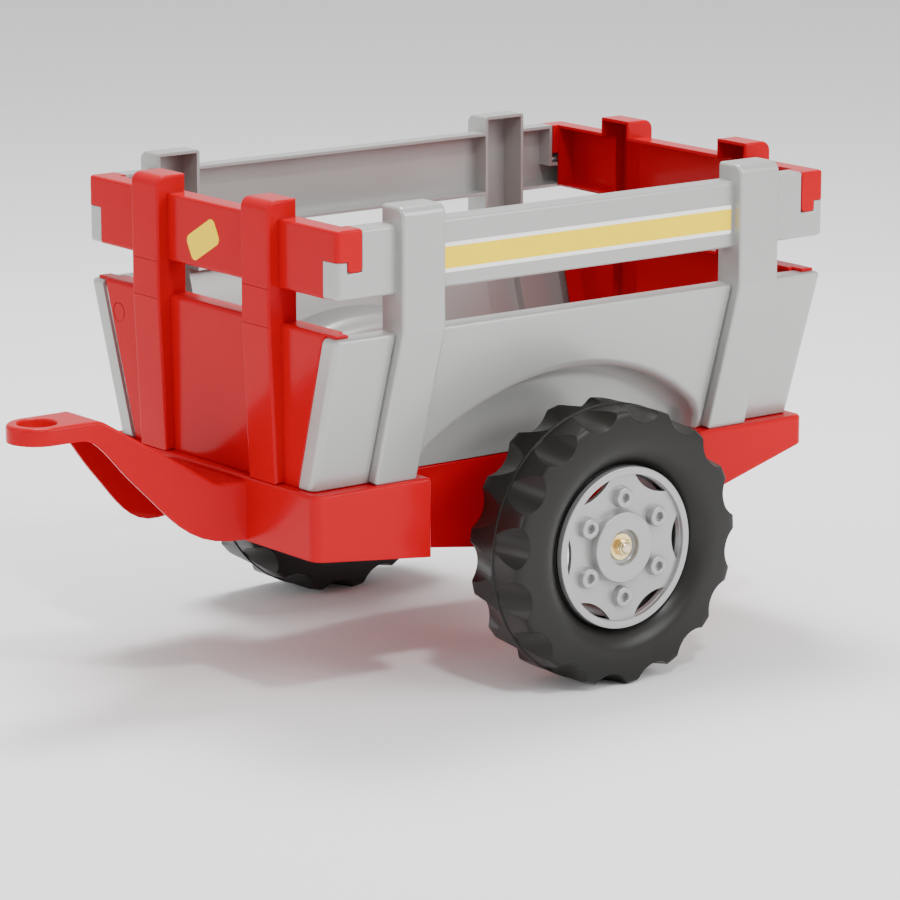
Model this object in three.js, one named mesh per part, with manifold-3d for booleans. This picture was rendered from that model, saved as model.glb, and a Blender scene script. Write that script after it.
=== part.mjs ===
// Child's single-axle farm trailer for towing behind a pedal tractor.
// A moulded chassis tray with its drawbar carries two fixed side panels, a front board and a tail
// board that lift out, and two blow-moulded wheels on one steel axle.
// Millimetres. +X runs forward to the drawbar eye, +Y to the left, +Z up.
// The origin is the middle of the trailer's footprint, on the ground.
import * as THREE from "three";
import { mergeVertices } from "three/addons/utils/BufferGeometryUtils.js";
import Module from "manifold-3d";

const wasm = await Module();
wasm.setup();

// ---------------------------------------------------------------- driving dimensions
const clearance = 0.3; // between pieces that touch or slide
const wall = 3; // moulded wall thickness

// heights, from the axle up
const deckRise = 70.6; // foot of the boards above the axle
const boardHeight = 139;
const slotHeight = 33.6; // open slot between board and rail
const railHeight = 60.5;
const postAboveRail = 15.3;

// tub: the box made by the boards and rails, outer faces at the top of the boards
const tubHalfLength = 274.4;
const tubHalfWidth = 191.7;
const sideLean = 42; // how far the foot of a side board stands inside its top
const endLean = 3; // the same for the end boards
const panelDepth = 20; // depth of every board, rail and corner return
const endRecess = 1.5; // end boards sit this far behind the corner returns
const capLip = 3; // end boards' top flange stands over the side boards' top
const lipReach = 12; // and reaches this far over them

// posts that join board and rail, set in from the tub's corners
const sidePostWidth = 46;
const sidePostInset = 85.4;
const sidePostProud = 10;
const endPostWidth = 42;
const endPostInset = 106.7;
const endPostProud = 10.5;
const endPostFootProud = 7;
const postCapRadius = 9;

// hooks of the end rails over the side rails
const hookReach = 26.4; // length along the side face
const hookHeight = 27;
const tabWidth = 14.7;
const tabDrop = 9.5;

// tongues under the posts and their sockets in the chassis
const tongueWidth = 28;
const tongueThickness = 7;
const tongueDepth = 9;

// chassis tray
const chassisSideLedge = 14.7; // tray stands this far outside the foot of the side boards
const chassisEndLedge = 8;
const wheelBayStep = 41.9; // tray's side steps in by this between the wheels
const wheelBayMargin = 36.1; // the wide ends start this far inside the posts' middles
const skirtFront = 12.5; // skirt's lower edge above the axle: at the front wall,
const skirtBayFront = -1; // at the front of the wheel bay,
const skirtAxle = -19; // at the axle bosses,
const skirtBayRear = 8; // at the back of the wheel bay
const skirtRear = 45; // and at the rear wall
const axleBossHalfWidth = 24;
const axleBossWall = 6;
const axleBossLength = 15;
const ribHeight = 26;
const ribInset = 64.4; // outer ribs from the end walls
const ribBayHalf = 75; // inner ribs from the axle

// drawbar, measured forward from the front wall and up from the axle
const drawbarRootHalfWidth = 61.6;
const drawbarNeckHalfWidth = 27;
const drawbarNeckOut = 133.6;
const drawbarRise = 130.5;
const drawbarDepth = 15.5;
const drawbarRootDrop = 5; // its root lies this far below the foot of the boards
const drawbarRampOut = 24.6;
const eyeOut = 174.6;
const eyeRadius = 17;

// wheels
const tyreRadius = 125;
const tyreWidth = 75;
const wheelGap = 8.86; // tyre's inner side from the board beside its top
const tyreWall = 3.5; // blow-moulded, hollow, open at the bore
const lugCount = 16;
const lugDepth = 12;
const rimRadius = 73;
const rimRingWidth = 7;
const rimFlange = 6;
const rimRecess = 5.3; // rim's face behind the tyre's outer side
const rimPlateRecess = 7;
const rimPlate = 4;
const hubDiscRadius = 32;
const hubCupRadius = 16;
const hubCupDepth = 6.5;
const hubTubeWall = 5;
const bossCount = 6;
const bossCircle = 45;
const bossRadius = 9;
const bossHoleRadius = 3.6;
const windowRadius = 40;
const windowDepth = 9;

// wheel arch pressed into each side panel
const archGap = 25.6; // above the tyre
const archRadius = 232;
const archSpread = 33; // beyond the tyre, each way
const archEdge = 20; // rounded edge where the recess floor turns out

// axle hardware
const axleRadius = 5;
const axleStickOut = 2.3; // beyond the rim's face
const bushWall = 3;
const bushFlangeWidth = 4;
const bushFlange = 2;
const washerWidth = 7.4;
const washerThickness = 1.5;
const nutWall = 3.1;
const nutHeight = 6;
const spacerWall = 4;
const spacerGap = 1;

// stick-on trim
const trimThickness = 0.5;
const stripeMargin = 3; // from the posts
const stripeHeight = 27;
const trimDrop = 4; // below the rail's middle
const badgeWidth = 50;
const badgeHeight = 32;
const badgeY = -8;

// ---------------------------------------------------------------- derived levels and places
const axleZ = tyreRadius;
const boardBottom = axleZ + deckRise;
const boardTop = boardBottom + boardHeight;
const railBottom = boardTop + slotHeight;
const railTop = railBottom + railHeight;
const postTop = railTop + postAboveRail;
const deckTop = boardBottom - clearance;

const sidePostX = tubHalfLength - sidePostInset;
const endPostY = tubHalfWidth - endPostInset;
const sideTongueY = tubHalfWidth - sideLean - panelDepth / 2;
const endTongueX = tubHalfLength - endRecess - endLean - panelDepth / 2;

const chassisHalfLength = tubHalfLength - endLean + chassisEndLedge;
const chassisHalfWidth = tubHalfWidth - sideLean + chassisSideLedge;
const wheelBayHalfLength = sidePostX - wheelBayMargin;
const wheelBayHalfWidth = chassisHalfWidth - wheelBayStep;
const drawbarNeckX = chassisHalfLength + drawbarNeckOut;
const drawbarRampFoot = chassisHalfLength + drawbarRampOut;
const drawbarTop = axleZ + drawbarRise;
const eyeX = chassisHalfLength + eyeOut;

// How far a leaning face stands inside its top at height z.
const leanAt = (lean, z) => (lean * Math.max(0, boardTop - z)) / boardHeight;

const tyreInnerY = tubHalfWidth - leanAt(sideLean, 2 * tyreRadius) + wheelGap;
const tyreOuterY = tyreInnerY + tyreWidth;
const rimFaceY = tyreOuterY - rimRecess;
const rimPlateY = rimFaceY - rimPlateRecess;
const rimBarrelRadius = rimRadius - rimFlange;
const hubInnerY = tyreInnerY + 3;
const hubDiscY = rimFaceY - 1.5;
const hubCupY = hubDiscY - hubCupDepth;
const boreRadius = axleRadius + clearance;
const bushRadius = axleRadius + bushWall;

const archTop = 2 * tyreRadius + archGap;
const archHalfWidth = tyreRadius + archSpread;
const archFloorY = wheelBayHalfWidth + 0.5;

const drawbarTip = eyeX + drawbarNeckHalfWidth;
const rearmost = tubHalfLength + endPostProud;
const axleX = (rearmost - drawbarTip) / 2; // puts the origin at the middle of the footprint

// ---------------------------------------------------------------- solids
// The pieces are drawn with x = 0 at the axle; the group at the end shifts them to the origin.

function toSolid(geometry) {
  const plain = geometry.index ? geometry.toNonIndexed() : geometry;
  const positions = new THREE.BufferGeometry();
  positions.setAttribute("position", plain.getAttribute("position"));
  const merged = mergeVertices(positions, 1e-4);
  return new wasm.Manifold(
    new wasm.Mesh({
      numProp: 3,
      vertProperties: merged.attributes.position.array,
      triVerts: new Uint32Array(merged.index.array),
    }),
  );
}

function toGeometry(solid) {
  const mesh = solid.getMesh();
  const geometry = new THREE.BufferGeometry();
  geometry.setAttribute("position", new THREE.BufferAttribute(mesh.vertProperties, 3));
  geometry.setIndex(new THREE.BufferAttribute(mesh.triVerts, 1));
  const flat = geometry.toNonIndexed();
  flat.computeVertexNormals();
  return flat;
}

const join = (solids) => solids.reduce((whole, next) => whole.add(next));

// A closed outline of [a, b] points or a THREE.Shape, extruded along one axis.
const asShape = (outline) =>
  outline instanceof THREE.Shape
    ? outline
    : new THREE.Shape(outline.map(([a, b]) => new THREE.Vector2(a, b)));

function extruded(outline, depth, options = {}) {
  return new THREE.ExtrudeGeometry(asShape(outline), {
    depth,
    bevelEnabled: false,
    curveSegments: 8,
    ...options,
  });
}

function alongX(outlineYZ, x0, x1) {
  const toX = new THREE.Matrix4().makeBasis(
    new THREE.Vector3(0, 1, 0),
    new THREE.Vector3(0, 0, 1),
    new THREE.Vector3(1, 0, 0),
  );
  return toSolid(extruded(outlineYZ, x1 - x0).applyMatrix4(toX).translate(x0, 0, 0));
}

function alongY(outlineXZ, y0, y1, options) {
  const toY = new THREE.Matrix4().makeBasis(
    new THREE.Vector3(1, 0, 0),
    new THREE.Vector3(0, 0, 1),
    new THREE.Vector3(0, -1, 0),
  );
  return toSolid(extruded(outlineXZ, y1 - y0, options).applyMatrix4(toY).translate(0, y1, 0));
}

function alongZ(outlineXY, z0, z1) {
  return toSolid(extruded(outlineXY, z1 - z0).translate(0, 0, z0));
}

function box(x0, x1, y0, y1, z0, z1) {
  const geometry = new THREE.BoxGeometry(x1 - x0, y1 - y0, z1 - z0);
  return toSolid(geometry.translate((x0 + x1) / 2, (y0 + y1) / 2, (z0 + z1) / 2));
}

// A block whose lower and upper rectangles differ: each is [x0, x1, y0, y1, z].
function taperedBlock(low, high) {
  const geometry = new THREE.BoxGeometry(1, 1, 1);
  const place = geometry.attributes.position;
  for (let i = 0; i < place.count; i++) {
    const level = place.getZ(i) < 0 ? low : high;
    const x = place.getX(i) < 0 ? level[0] : level[1];
    const y = place.getY(i) < 0 ? level[2] : level[3];
    place.setXYZ(i, x, y, level[4]);
  }
  return toSolid(geometry);
}

// A disc or pin along Y, centred on the axle line.
function disc(radius, y0, y1, segments = 32) {
  const geometry = new THREE.CylinderGeometry(radius, radius, y1 - y0, segments);
  return toSolid(geometry.translate(0, (y0 + y1) / 2, 0));
}

function ring(outer, inner, y0, y1, segments = 32, boreSegments = segments) {
  return disc(outer, y0, y1, segments).subtract(disc(inner, y0 - 1, y1 + 1, boreSegments));
}

// ---------------------------------------------------------------- panels
// Side view of a post, [outward, z]: a leaning foot, an upright top and a rounded cap.
// face is the rail's outer face; inset shrinks the outer side, the cap and the foot.
function postProfile(face, lean, proud, footProud, inset) {
  const back = face - panelDepth - (inset > 0 ? 5 : 0);
  const front = face + proud - inset;
  const foot = boardBottom + inset;
  const top = postTop - inset;
  const radius = postCapRadius - inset;
  const points = [
    [back - leanAt(lean, foot), foot],
    [face + footProud - inset - leanAt(lean, foot), foot],
    [front, boardTop],
  ];
  for (let step = 0; step <= 4; step++) {
    const angle = (step * Math.PI) / 8;
    points.push([
      front - radius + radius * Math.cos(angle),
      top - radius + radius * Math.sin(angle),
    ]);
  }
  points.push([back, top], [back, boardTop]);
  return points;
}

const tongueX = (x, y) =>
  box(
    x - tongueWidth / 2,
    x + tongueWidth / 2,
    y - tongueThickness / 2,
    y + tongueThickness / 2,
    boardBottom - tongueDepth,
    boardBottom + wall,
  );
const tongueY = (x, y) =>
  box(
    x - tongueThickness / 2,
    x + tongueThickness / 2,
    y - tongueWidth / 2,
    y + tongueWidth / 2,
    boardBottom - tongueDepth,
    boardBottom + wall,
  );
// Outline of the wheel arch in the side view, grown outwards by a margin.
function archOutline(grow) {
  const radius = archRadius + grow;
  const half = archHalfWidth + grow;
  const centre = archTop - archRadius;
  const turn = half - 12;
  const heightAt = (x) => centre + Math.sqrt(radius * radius - x * x);
  const slope = turn / (heightAt(turn) - centre);
  const shoulder = heightAt(turn) - slope * (half - turn);
  const shape = new THREE.Shape();
  shape.moveTo(half, boardBottom - 30);
  shape.lineTo(half, shoulder - 12);
  shape.quadraticCurveTo(half, shoulder, turn, heightAt(turn));
  const steps = 14;
  for (let step = 1; step < steps; step++) {
    const x = turn * (1 - (2 * step) / steps);
    shape.lineTo(x, heightAt(x));
  }
  shape.lineTo(-turn, heightAt(turn));
  shape.quadraticCurveTo(-half, shoulder, -half, shoulder - 12);
  shape.lineTo(-half, boardBottom - 30);
  return shape;
}

// The arch as a solid from its recess floor outwards, with the floor's edge rounded.
function archSolid(grow) {
  const floorY = archFloorY - grow;
  return alongY(archOutline(grow - archEdge), floorY + archEdge, tubHalfWidth + 60, {
    bevelEnabled: true,
    bevelThickness: archEdge,
    bevelSize: archEdge,
    bevelSegments: 4,
  });
}

function sidePanel() {
  const level = (z, inset, reach) => [
    -(tubHalfLength - leanAt(endLean, z) - inset),
    tubHalfLength - leanAt(endLean, z) - inset,
    tubHalfWidth - leanAt(sideLean, z) - panelDepth - reach,
    tubHalfWidth - leanAt(sideLean, z) - inset,
    z,
  ];
  const board = taperedBlock(level(boardBottom, 0, 0), level(boardTop, 0, 0));
  const boardHollow = taperedBlock(
    level(boardBottom + wall, wall, 5),
    level(boardTop - wall, wall, 5),
  );
  const back = tubHalfWidth - panelDepth;
  const rail = box(-tubHalfLength, tubHalfLength, back, tubHalfWidth, railBottom, railTop);
  const railHollow = box(
    -tubHalfLength + wall,
    tubHalfLength - wall,
    back - 5,
    tubHalfWidth - wall,
    railBottom + wall,
    railTop - wall,
  );
  // room for the end rails' hooks and their tabs, at both ends
  const hookRoom = [];
  const hookWall = [];
  for (const end of [-1, 1]) {
    const span = (from, to, z0, grow) =>
      box(
        Math.min(end * from, end * to) - grow,
        Math.max(end * from, end * to) + grow,
        back - 10,
        tubHalfWidth + 10,
        z0 - grow,
        railTop + 10,
      );
    const hookStart = tubHalfLength - hookReach - clearance;
    const hookFloor = railTop - hookHeight - clearance;
    const tabEnd = tubHalfLength - hookReach + tabWidth + clearance;
    hookRoom.push(span(hookStart, tubHalfLength + 10, hookFloor, 0));
    hookRoom.push(span(hookStart, tabEnd, hookFloor - tabDrop, 0));
    hookWall.push(span(hookStart, tubHalfLength + 10, hookFloor - tabDrop, wall));
  }
  const posts = [];
  const postHollows = [];
  for (const x of [-sidePostX, sidePostX]) {
    const half = sidePostWidth / 2;
    const outer = postProfile(tubHalfWidth, sideLean, sidePostProud, sidePostProud, 0);
    const inner = postProfile(tubHalfWidth, sideLean, sidePostProud, sidePostProud, wall);
    posts.push(alongX(outer, x - half, x + half));
    postHollows.push(alongX(inner, x - half + wall, x + half - wall));
  }
  const railShell = rail
    .subtract(join(hookRoom))
    .subtract(railHollow.subtract(join(hookWall)));
  // the arch bulges into the tub with its own wall
  const insideBoards = taperedBlock(
    level(boardBottom, 0, 60),
    level(boardTop, 0, 60),
  );
  const bulge = archSolid(wall).intersect(insideBoards);
  const shell = join([board, ...posts])
    .subtract(join([boardHollow, ...postHollows]))
    .add(railShell.subtract(join(postHollows)))
    .add(bulge)
    .subtract(archSolid(0));
  return join([shell, tongueX(-sidePostX, sideTongueY), tongueX(sidePostX, sideTongueY)]);
}

// The front board; the tail board is the same moulding turned round.
function endBoard() {
  const gap = panelDepth + clearance;
  const top = boardTop + capLip;
  const level = (z, inset, reach) => {
    const face = tubHalfLength - endRecess - leanAt(endLean, z);
    const half = tubHalfWidth - gap - leanAt(sideLean, z) - inset;
    return [face - panelDepth - reach, face - inset, -half, half, z];
  };
  const board = taperedBlock(level(boardBottom, 0, 0), level(boardTop, 0, 0));
  const rim = level(boardTop, 0, 0);
  const cap = taperedBlock(level(boardTop - wall, 0, 0), [...rim.slice(0, 4), top]);
  const hollow = taperedBlock(
    level(boardBottom + wall, wall, 5),
    level(boardTop - wall, wall, 5),
  );
  const capHollow = taperedBlock(
    level(boardTop - wall - 1, wall, 5),
    [rim[0] - 5, rim[1] - wall, rim[2] + wall, rim[3] - wall, top - wall],
  );
  // lips that lie on the side boards' top corners
  const lip = box(
    rim[0] + 4, rim[1] - 2, rim[2] - lipReach, rim[3] + lipReach, boardTop + clearance, top,
  );

  const back = tubHalfLength - panelDepth;
  const railHalf = tubHalfWidth - gap;
  const rail = box(back, tubHalfLength, -railHalf, railHalf, railBottom, railTop);
  const railHollow = box(
    back - 5,
    tubHalfLength - wall,
    -railHalf + wall,
    railHalf - wall,
    railBottom + wall,
    railTop - wall,
  );
  const hooks = [];
  const hookHollows = [];
  for (const side of [-1, 1]) {
    const span = (x0, x1, from, to, z0, z1) =>
      box(x0, x1, Math.min(side * from, side * to), Math.max(side * from, side * to), z0, z1);
    const hookX = tubHalfLength - hookReach;
    const hookFloor = railTop - hookHeight;
    hooks.push(
      span(hookX, tubHalfLength, railHalf - 1, tubHalfWidth, hookFloor, railTop),
      span(hookX, hookX + tabWidth, tubHalfWidth - wall, tubHalfWidth,
        hookFloor - tabDrop, hookFloor + 1),
    );
    hookHollows.push(
      span(hookX + wall, tubHalfLength - wall, railHalf, tubHalfWidth - wall,
        hookFloor - 5, railTop - wall),
    );
  }
  const posts = [];
  const postHollows = [];
  for (const y of [-endPostY, endPostY]) {
    const half = endPostWidth / 2;
    const outer = postProfile(tubHalfLength, endLean, endPostProud, endPostFootProud, 0);
    const inner = postProfile(tubHalfLength, endLean, endPostProud, endPostFootProud, wall);
    posts.push(alongY(outer, y - half, y + half));
    postHollows.push(alongY(inner, y - half + wall, y + half - wall));
  }
  const shell = join([board, cap, lip, rail, ...hooks, ...posts])
    .subtract(join([hollow, capHollow, railHollow, ...hookHollows, ...postHollows]));
  return join([shell, tongueY(endTongueX, -endPostY), tongueY(endTongueX, endPostY)]);
}

// ---------------------------------------------------------------- chassis
// Top view of the tray, shrunk by a margin: wide ends and a narrow stretch between the wheels.
function trayOutline(inset) {
  const length = chassisHalfLength - inset;
  const width = chassisHalfWidth - inset;
  const bay = wheelBayHalfLength + inset;
  const narrow = wheelBayHalfWidth - inset;
  const side = [
    [length, width],
    [bay, width],
    [bay, narrow],
    [-bay, narrow],
    [-bay, width],
    [-length, width],
  ];
  const mirrored = side.map(([x, y]) => [x, -y]).reverse();
  return [...side, ...mirrored].reverse();
}

// Side view of the skirt, deeper round the axle.
function skirtOutline(top) {
  const far = 1000;
  const boss = axleBossHalfWidth;
  return [
    [-chassisHalfLength - far, axleZ + skirtRear],
    [-chassisHalfLength, axleZ + skirtRear],
    [-wheelBayHalfLength, axleZ + skirtBayRear],
    [-boss, axleZ + skirtAxle],
    [boss, axleZ + skirtAxle],
    [wheelBayHalfLength, axleZ + skirtBayFront],
    [chassisHalfLength, axleZ + skirtFront],
    [chassisHalfLength + far, axleZ + skirtFront],
    [chassisHalfLength + far, top],
    [-chassisHalfLength - far, top],
  ];
}

// Top view of the drawbar, from the front wall to the rounded eye, shrunk by a margin.
function drawbarPlan(inset, rootX) {
  const shape = new THREE.Shape();
  const neck = drawbarNeckHalfWidth - inset;
  const root = drawbarRootHalfWidth - inset;
  shape.moveTo(rootX, -root);
  shape.lineTo(chassisHalfLength, -root);
  shape.lineTo(drawbarNeckX, -neck);
  shape.lineTo(eyeX, -neck);
  shape.absarc(eyeX, 0, neck, -Math.PI / 2, Math.PI / 2, false);
  shape.lineTo(drawbarNeckX, neck);
  shape.lineTo(chassisHalfLength, root);
  shape.lineTo(rootX, root);
  return shape;
}

// Side view of the drawbar: level at the eye, a swept ramp, and a deep root at the front wall.
// drop lowers the top surface, which leaves the top plate when the hollow is cut.
function drawbarSide(rootX, drop) {
  const shape = new THREE.Shape();
  const top = drawbarTop - drop;
  const rootTop = boardBottom - drawbarRootDrop - drop;
  const under = drop > 0 ? -40 : 0;
  const eyeBottom = drawbarTop - drawbarDepth + under;
  const skirt = axleZ + skirtFront + 1 + under;
  shape.moveTo(rootX, rootTop);
  shape.lineTo(rootX, skirt);
  shape.lineTo(chassisHalfLength + 15, skirt);
  shape.bezierCurveTo(
    chassisHalfLength + 52, skirt, chassisHalfLength + 68, skirt + 26,
    chassisHalfLength + 97, skirt + 56,
  );
  shape.bezierCurveTo(
    chassisHalfLength + 122, skirt + 82, drawbarNeckX - 5, eyeBottom, drawbarNeckX + 14, eyeBottom,
  );
  shape.lineTo(drawbarTip + 20, eyeBottom);
  shape.lineTo(drawbarTip + 20, top);
  shape.lineTo(drawbarNeckX + 4, top);
  shape.quadraticCurveTo(drawbarNeckX - 5, top, drawbarNeckX - 14, top - 9);
  shape.lineTo(drawbarRampFoot + 12, rootTop + 8);
  shape.quadraticCurveTo(drawbarRampFoot, rootTop, drawbarRampFoot - 14, rootTop);
  return shape;
}

function chassis() {
  const low = axleZ - 100; // cuts and slabs run well past the tray
  const inY = tyreOuterY + 50;
  const tray = alongZ(trayOutline(0), low, deckTop).intersect(
    alongY(skirtOutline(deckTop + 10), -inY, inY),
  );
  const trayHollow = alongZ(trayOutline(wall), low, deckTop - wall);

  const root = chassisHalfLength - wall;
  const drawbar = alongZ(drawbarPlan(0, root), low, drawbarTop + 10).intersect(
    alongY(drawbarSide(root, 0), -inY, inY),
  );
  const channel = alongZ(drawbarPlan(wall, chassisHalfLength), low, drawbarTop + 10).intersect(
    alongY(drawbarSide(chassisHalfLength, wall), -inY, inY),
  );
  const eye = new THREE.Shape().absarc(eyeX, 0, eyeRadius, 0, 2 * Math.PI, false);
  const eyeCollar = new THREE.Shape().absarc(eyeX, 0, eyeRadius + wall, 0, 2 * Math.PI, false);
  const eyeTube = alongZ(eyeCollar, drawbarTop - drawbarDepth, drawbarTop - 1);

  // stiffening ribs under the deck
  const ribs = [];
  const ribFoot = deckTop - ribHeight;
  const ribEnd = chassisHalfLength - ribInset;
  for (const [x, half] of [
    [-ribEnd, chassisHalfWidth],
    [-ribBayHalf, wheelBayHalfWidth],
    [ribBayHalf, wheelBayHalfWidth],
    [ribEnd, chassisHalfWidth],
  ]) {
    ribs.push(box(x - wall / 2, x + wall / 2, -half + 1, half - 1, ribFoot, deckTop - 1));
  }
  const end = chassisHalfLength - 1;
  ribs.push(box(-end, end, -wall / 2, wall / 2, deckTop - ribHeight + 4, deckTop - 1));

  // axle bosses inside the skirts
  const bosses = [-1, 1].map((side) => {
    const y0 = side * (wheelBayHalfWidth - 1);
    const y1 = y0 - side * axleBossLength;
    const radius = axleRadius + axleBossWall;
    return disc(radius, Math.min(y0, y1), Math.max(y0, y1), 16).translate(0, 0, axleZ);
  });
  const axleHole = disc(boreRadius, -inY, inY, 16).translate(0, 0, axleZ);

  // sockets for the tongues, each with a box of wall under the deck
  const sockets = [];
  const socketWalls = [];
  const socket = (x, y, alongAxisX) => {
    const halfX = (alongAxisX ? tongueWidth : tongueThickness) / 2 + clearance;
    const halfY = (alongAxisX ? tongueThickness : tongueWidth) / 2 + clearance;
    const foot = boardBottom - tongueDepth - clearance;
    sockets.push(box(x - halfX, x + halfX, y - halfY, y + halfY, foot, deckTop + 5));
    socketWalls.push(
      box(
        x - halfX - wall / 2,
        x + halfX + wall / 2,
        y - halfY - wall / 2,
        y + halfY + wall / 2,
        foot - wall / 2,
        deckTop - 1,
      ),
    );
  };
  for (const end of [-1, 1]) {
    for (const side of [-1, 1]) {
      socket(end * sidePostX, side * sideTongueY, true);
      socket(end * endTongueX, side * endPostY, false);
    }
  }
  return tray
    .subtract(trayHollow)
    .add(drawbar.subtract(channel))
    .add(eyeTube)
    .add(join(ribs).subtract(axleHole))
    .add(join(bosses))
    .add(join(socketWalls))
    .subtract(join(sockets))
    .subtract(axleHole)
    .subtract(alongZ(eye, low, drawbarTop + 20));
}

// ---------------------------------------------------------------- wheels, drawn about the Y axis
// Tyre section, its radius and y from the inner side, with the scooped points marked as lugs.
function tyre() {
  const w = tyreWidth;
  const r = tyreRadius;
  const seat = rimRadius + clearance;
  const bore = rimBarrelRadius + clearance;
  const seatFloor = w - rimRecess - rimFlange - 1;
  const crown = (share) => seat + share * (r - seat); // from the rim out to the crown
  const tread = r - lugDepth - tyreWall;
  const side = crown(0.76) - lugDepth;
  const bead = seat + tyreWall;
  const section = [
    // outside
    { r: bore, y: 3 },
    { r: crown(0.44), y: 0 },
    { r: crown(0.8), y: 2.2, lug: 0.5, side: 1 },
    { r: crown(0.97), y: 4, lug: 1, side: 1 },
    { r: crown(0.99), y: w * 0.36, lug: 0.4, side: 1 },
    { r, y: w * 0.47 },
    { r, y: w * 0.53 },
    { r: crown(0.99), y: w * 0.64, lug: 0.4, side: -1 },
    { r: crown(0.97), y: w - 4, lug: 1, side: -1 },
    { r: crown(0.8), y: w - 2.2, lug: 0.5, side: -1 },
    { r: crown(0.44), y: w },
    { r: crown(0.15), y: w - 1.5 },
    { r: seat, y: w - 5 },
    { r: seat, y: seatFloor },
    { r: bore, y: seatFloor },
    // inside of the hollow
    { r: bore, y: seatFloor - tyreWall },
    { r: bead, y: seatFloor - tyreWall },
    { r: crown(0.44), y: w - tyreWall },
    { r: side, y: w - 5 - tyreWall },
    { r: tread, y: w - 14 - tyreWall },
    { r: tread, y: 14 + tyreWall },
    { r: side, y: 5 + tyreWall },
    { r: bore, y: 3 + tyreWall },
  ];
  const steps = lugCount * 4;
  const positions = [];
  const indices = [];
  for (let i = 0; i < steps; i++) {
    const angle = (2 * Math.PI * (i - 1)) / steps;
    for (const { r: radius, y, lug = 0, side = 0 } of section) {
      const phase = (i + (side > 0 ? 2 : 0)) % 4;
      const scoop = lug * lugDepth * (phase < 2 ? 0 : 1);
      const rr = radius - scoop;
      positions.push(rr * Math.cos(angle), tyreInnerY + y, rr * Math.sin(angle));
    }
  }
  const n = section.length;
  for (let i = 0; i < steps; i++) {
    for (let j = 0; j < n; j++) {
      const a = i * n + j;
      const b = i * n + ((j + 1) % n);
      const c = ((i + 1) % steps) * n + j;
      const d = ((i + 1) % steps) * n + ((j + 1) % n);
      indices.push(a, b, c, b, d, c);
    }
  }
  const geometry = new THREE.BufferGeometry();
  geometry.setAttribute("position", new THREE.Float32BufferAttribute(positions, 3));
  geometry.setIndex(indices);
  return toSolid(geometry);
}

function rim() {
  const ringInner = rimRadius - rimRingWidth;
  const barrel = ring(rimBarrelRadius, rimBarrelRadius - wall, hubInnerY, rimFaceY - 1);
  const flange = ring(rimRadius, ringInner, rimFaceY - rimFlange, rimFaceY);
  const plate = disc(rimBarrelRadius - 1, rimPlateY - rimPlate, rimPlateY);
  const hubDisc = disc(hubDiscRadius, rimPlateY - rimPlate, hubDiscY, 24);
  const hubTube = disc(bushRadius + hubTubeWall, hubInnerY, hubDiscY - 1, 16);
  const bosses = [];
  const holes = [];
  const windows = [];
  for (let i = 0; i < bossCount; i++) {
    const bossAngle = (2 * Math.PI * (i + 0.5)) / bossCount;
    const at = [bossCircle * Math.cos(bossAngle), 0, bossCircle * Math.sin(bossAngle)];
    bosses.push(disc(bossRadius, rimPlateY - 1, rimFaceY - 0.5, 12).translate(at));
    holes.push(disc(bossHoleRadius, rimPlateY - 1, rimFaceY + 5, 6).translate(at));
    const windowAngle = (2 * Math.PI * i) / bossCount;
    const reach = ringInner - windowDepth + windowRadius;
    const centre = [reach * Math.cos(windowAngle), 0, reach * Math.sin(windowAngle)];
    windows.push(disc(windowRadius, rimPlateY - rimPlate - 5, rimPlateY + 20, 24).translate(centre));
  }
  const inside = disc(rimBarrelRadius - wall, rimPlateY - rimPlate - 10, rimFaceY + 10);
  return join([barrel, flange, plate, hubDisc, ...bosses])
    .subtract(join(windows).intersect(inside))
    .subtract(join(holes))
    .add(hubTube)
    .subtract(disc(hubCupRadius, hubCupY, rimFaceY + 5, 24))
    .subtract(disc(bushRadius + clearance, tyreInnerY - 5, rimFaceY + 5, 16));
}

// Flanged sleeve pressed into the hub tube; the wheel turns on it.
function hubBush() {
  const inner = hubInnerY - clearance;
  const flange = disc(bushRadius + bushFlangeWidth, inner - bushFlange, inner, 16);
  const sleeve = disc(bushRadius, inner - 1, hubCupY - clearance, 16);
  return flange
    .add(sleeve)
    .subtract(disc(boreRadius, tyreInnerY - 20, rimFaceY, 16));
}

// ---------------------------------------------------------------- materials
const finish = (color, roughness, metalness) =>
  new THREE.MeshStandardMaterial({ color, roughness, metalness });
const redPlastic = () => finish(0xd8060f, 0.25, 0);
const silverPlastic = () => finish(0xb4b5b3, 0.4, 0.1);
const blackTyre = () => finish(0x1c1b1a, 0.45, 0);
const steel = () => finish(0x9c9c98, 0.35, 1);
const brass = () => finish(0xd8bd7a, 0.3, 1);
const nylon = () => finish(0x222222, 0.5, 0);

const trailer = new THREE.Group();
trailer.name = "farm_trailer";
trailer.position.x = axleX;

function addPiece(parent, name, geometry, material) {
  const mesh = new THREE.Mesh(geometry, material);
  mesh.name = name;
  parent.add(mesh);
  return mesh;
}

addPiece(trailer, "chassis_tray", toGeometry(chassis()), redPlastic());

const sideGeometry = toGeometry(sidePanel());
addPiece(trailer, "side_panel_left", sideGeometry, silverPlastic());
addPiece(trailer, "side_panel_right", sideGeometry, silverPlastic()).scale.y = -1;

const endGeometry = toGeometry(endBoard());
addPiece(trailer, "front_board", endGeometry, redPlastic());
addPiece(trailer, "tail_board", endGeometry, redPlastic()).rotation.z = Math.PI;

// One axle through both skirts, with a fixed washer and a lock nut outside each wheel.
const axle = new THREE.Group();
axle.position.z = axleZ;
trailer.add(axle);
const axleEnd = rimFaceY + axleStickOut;
addPiece(axle, "axle_rod", toGeometry(disc(axleRadius, -axleEnd, axleEnd, 16)), steel());

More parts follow.
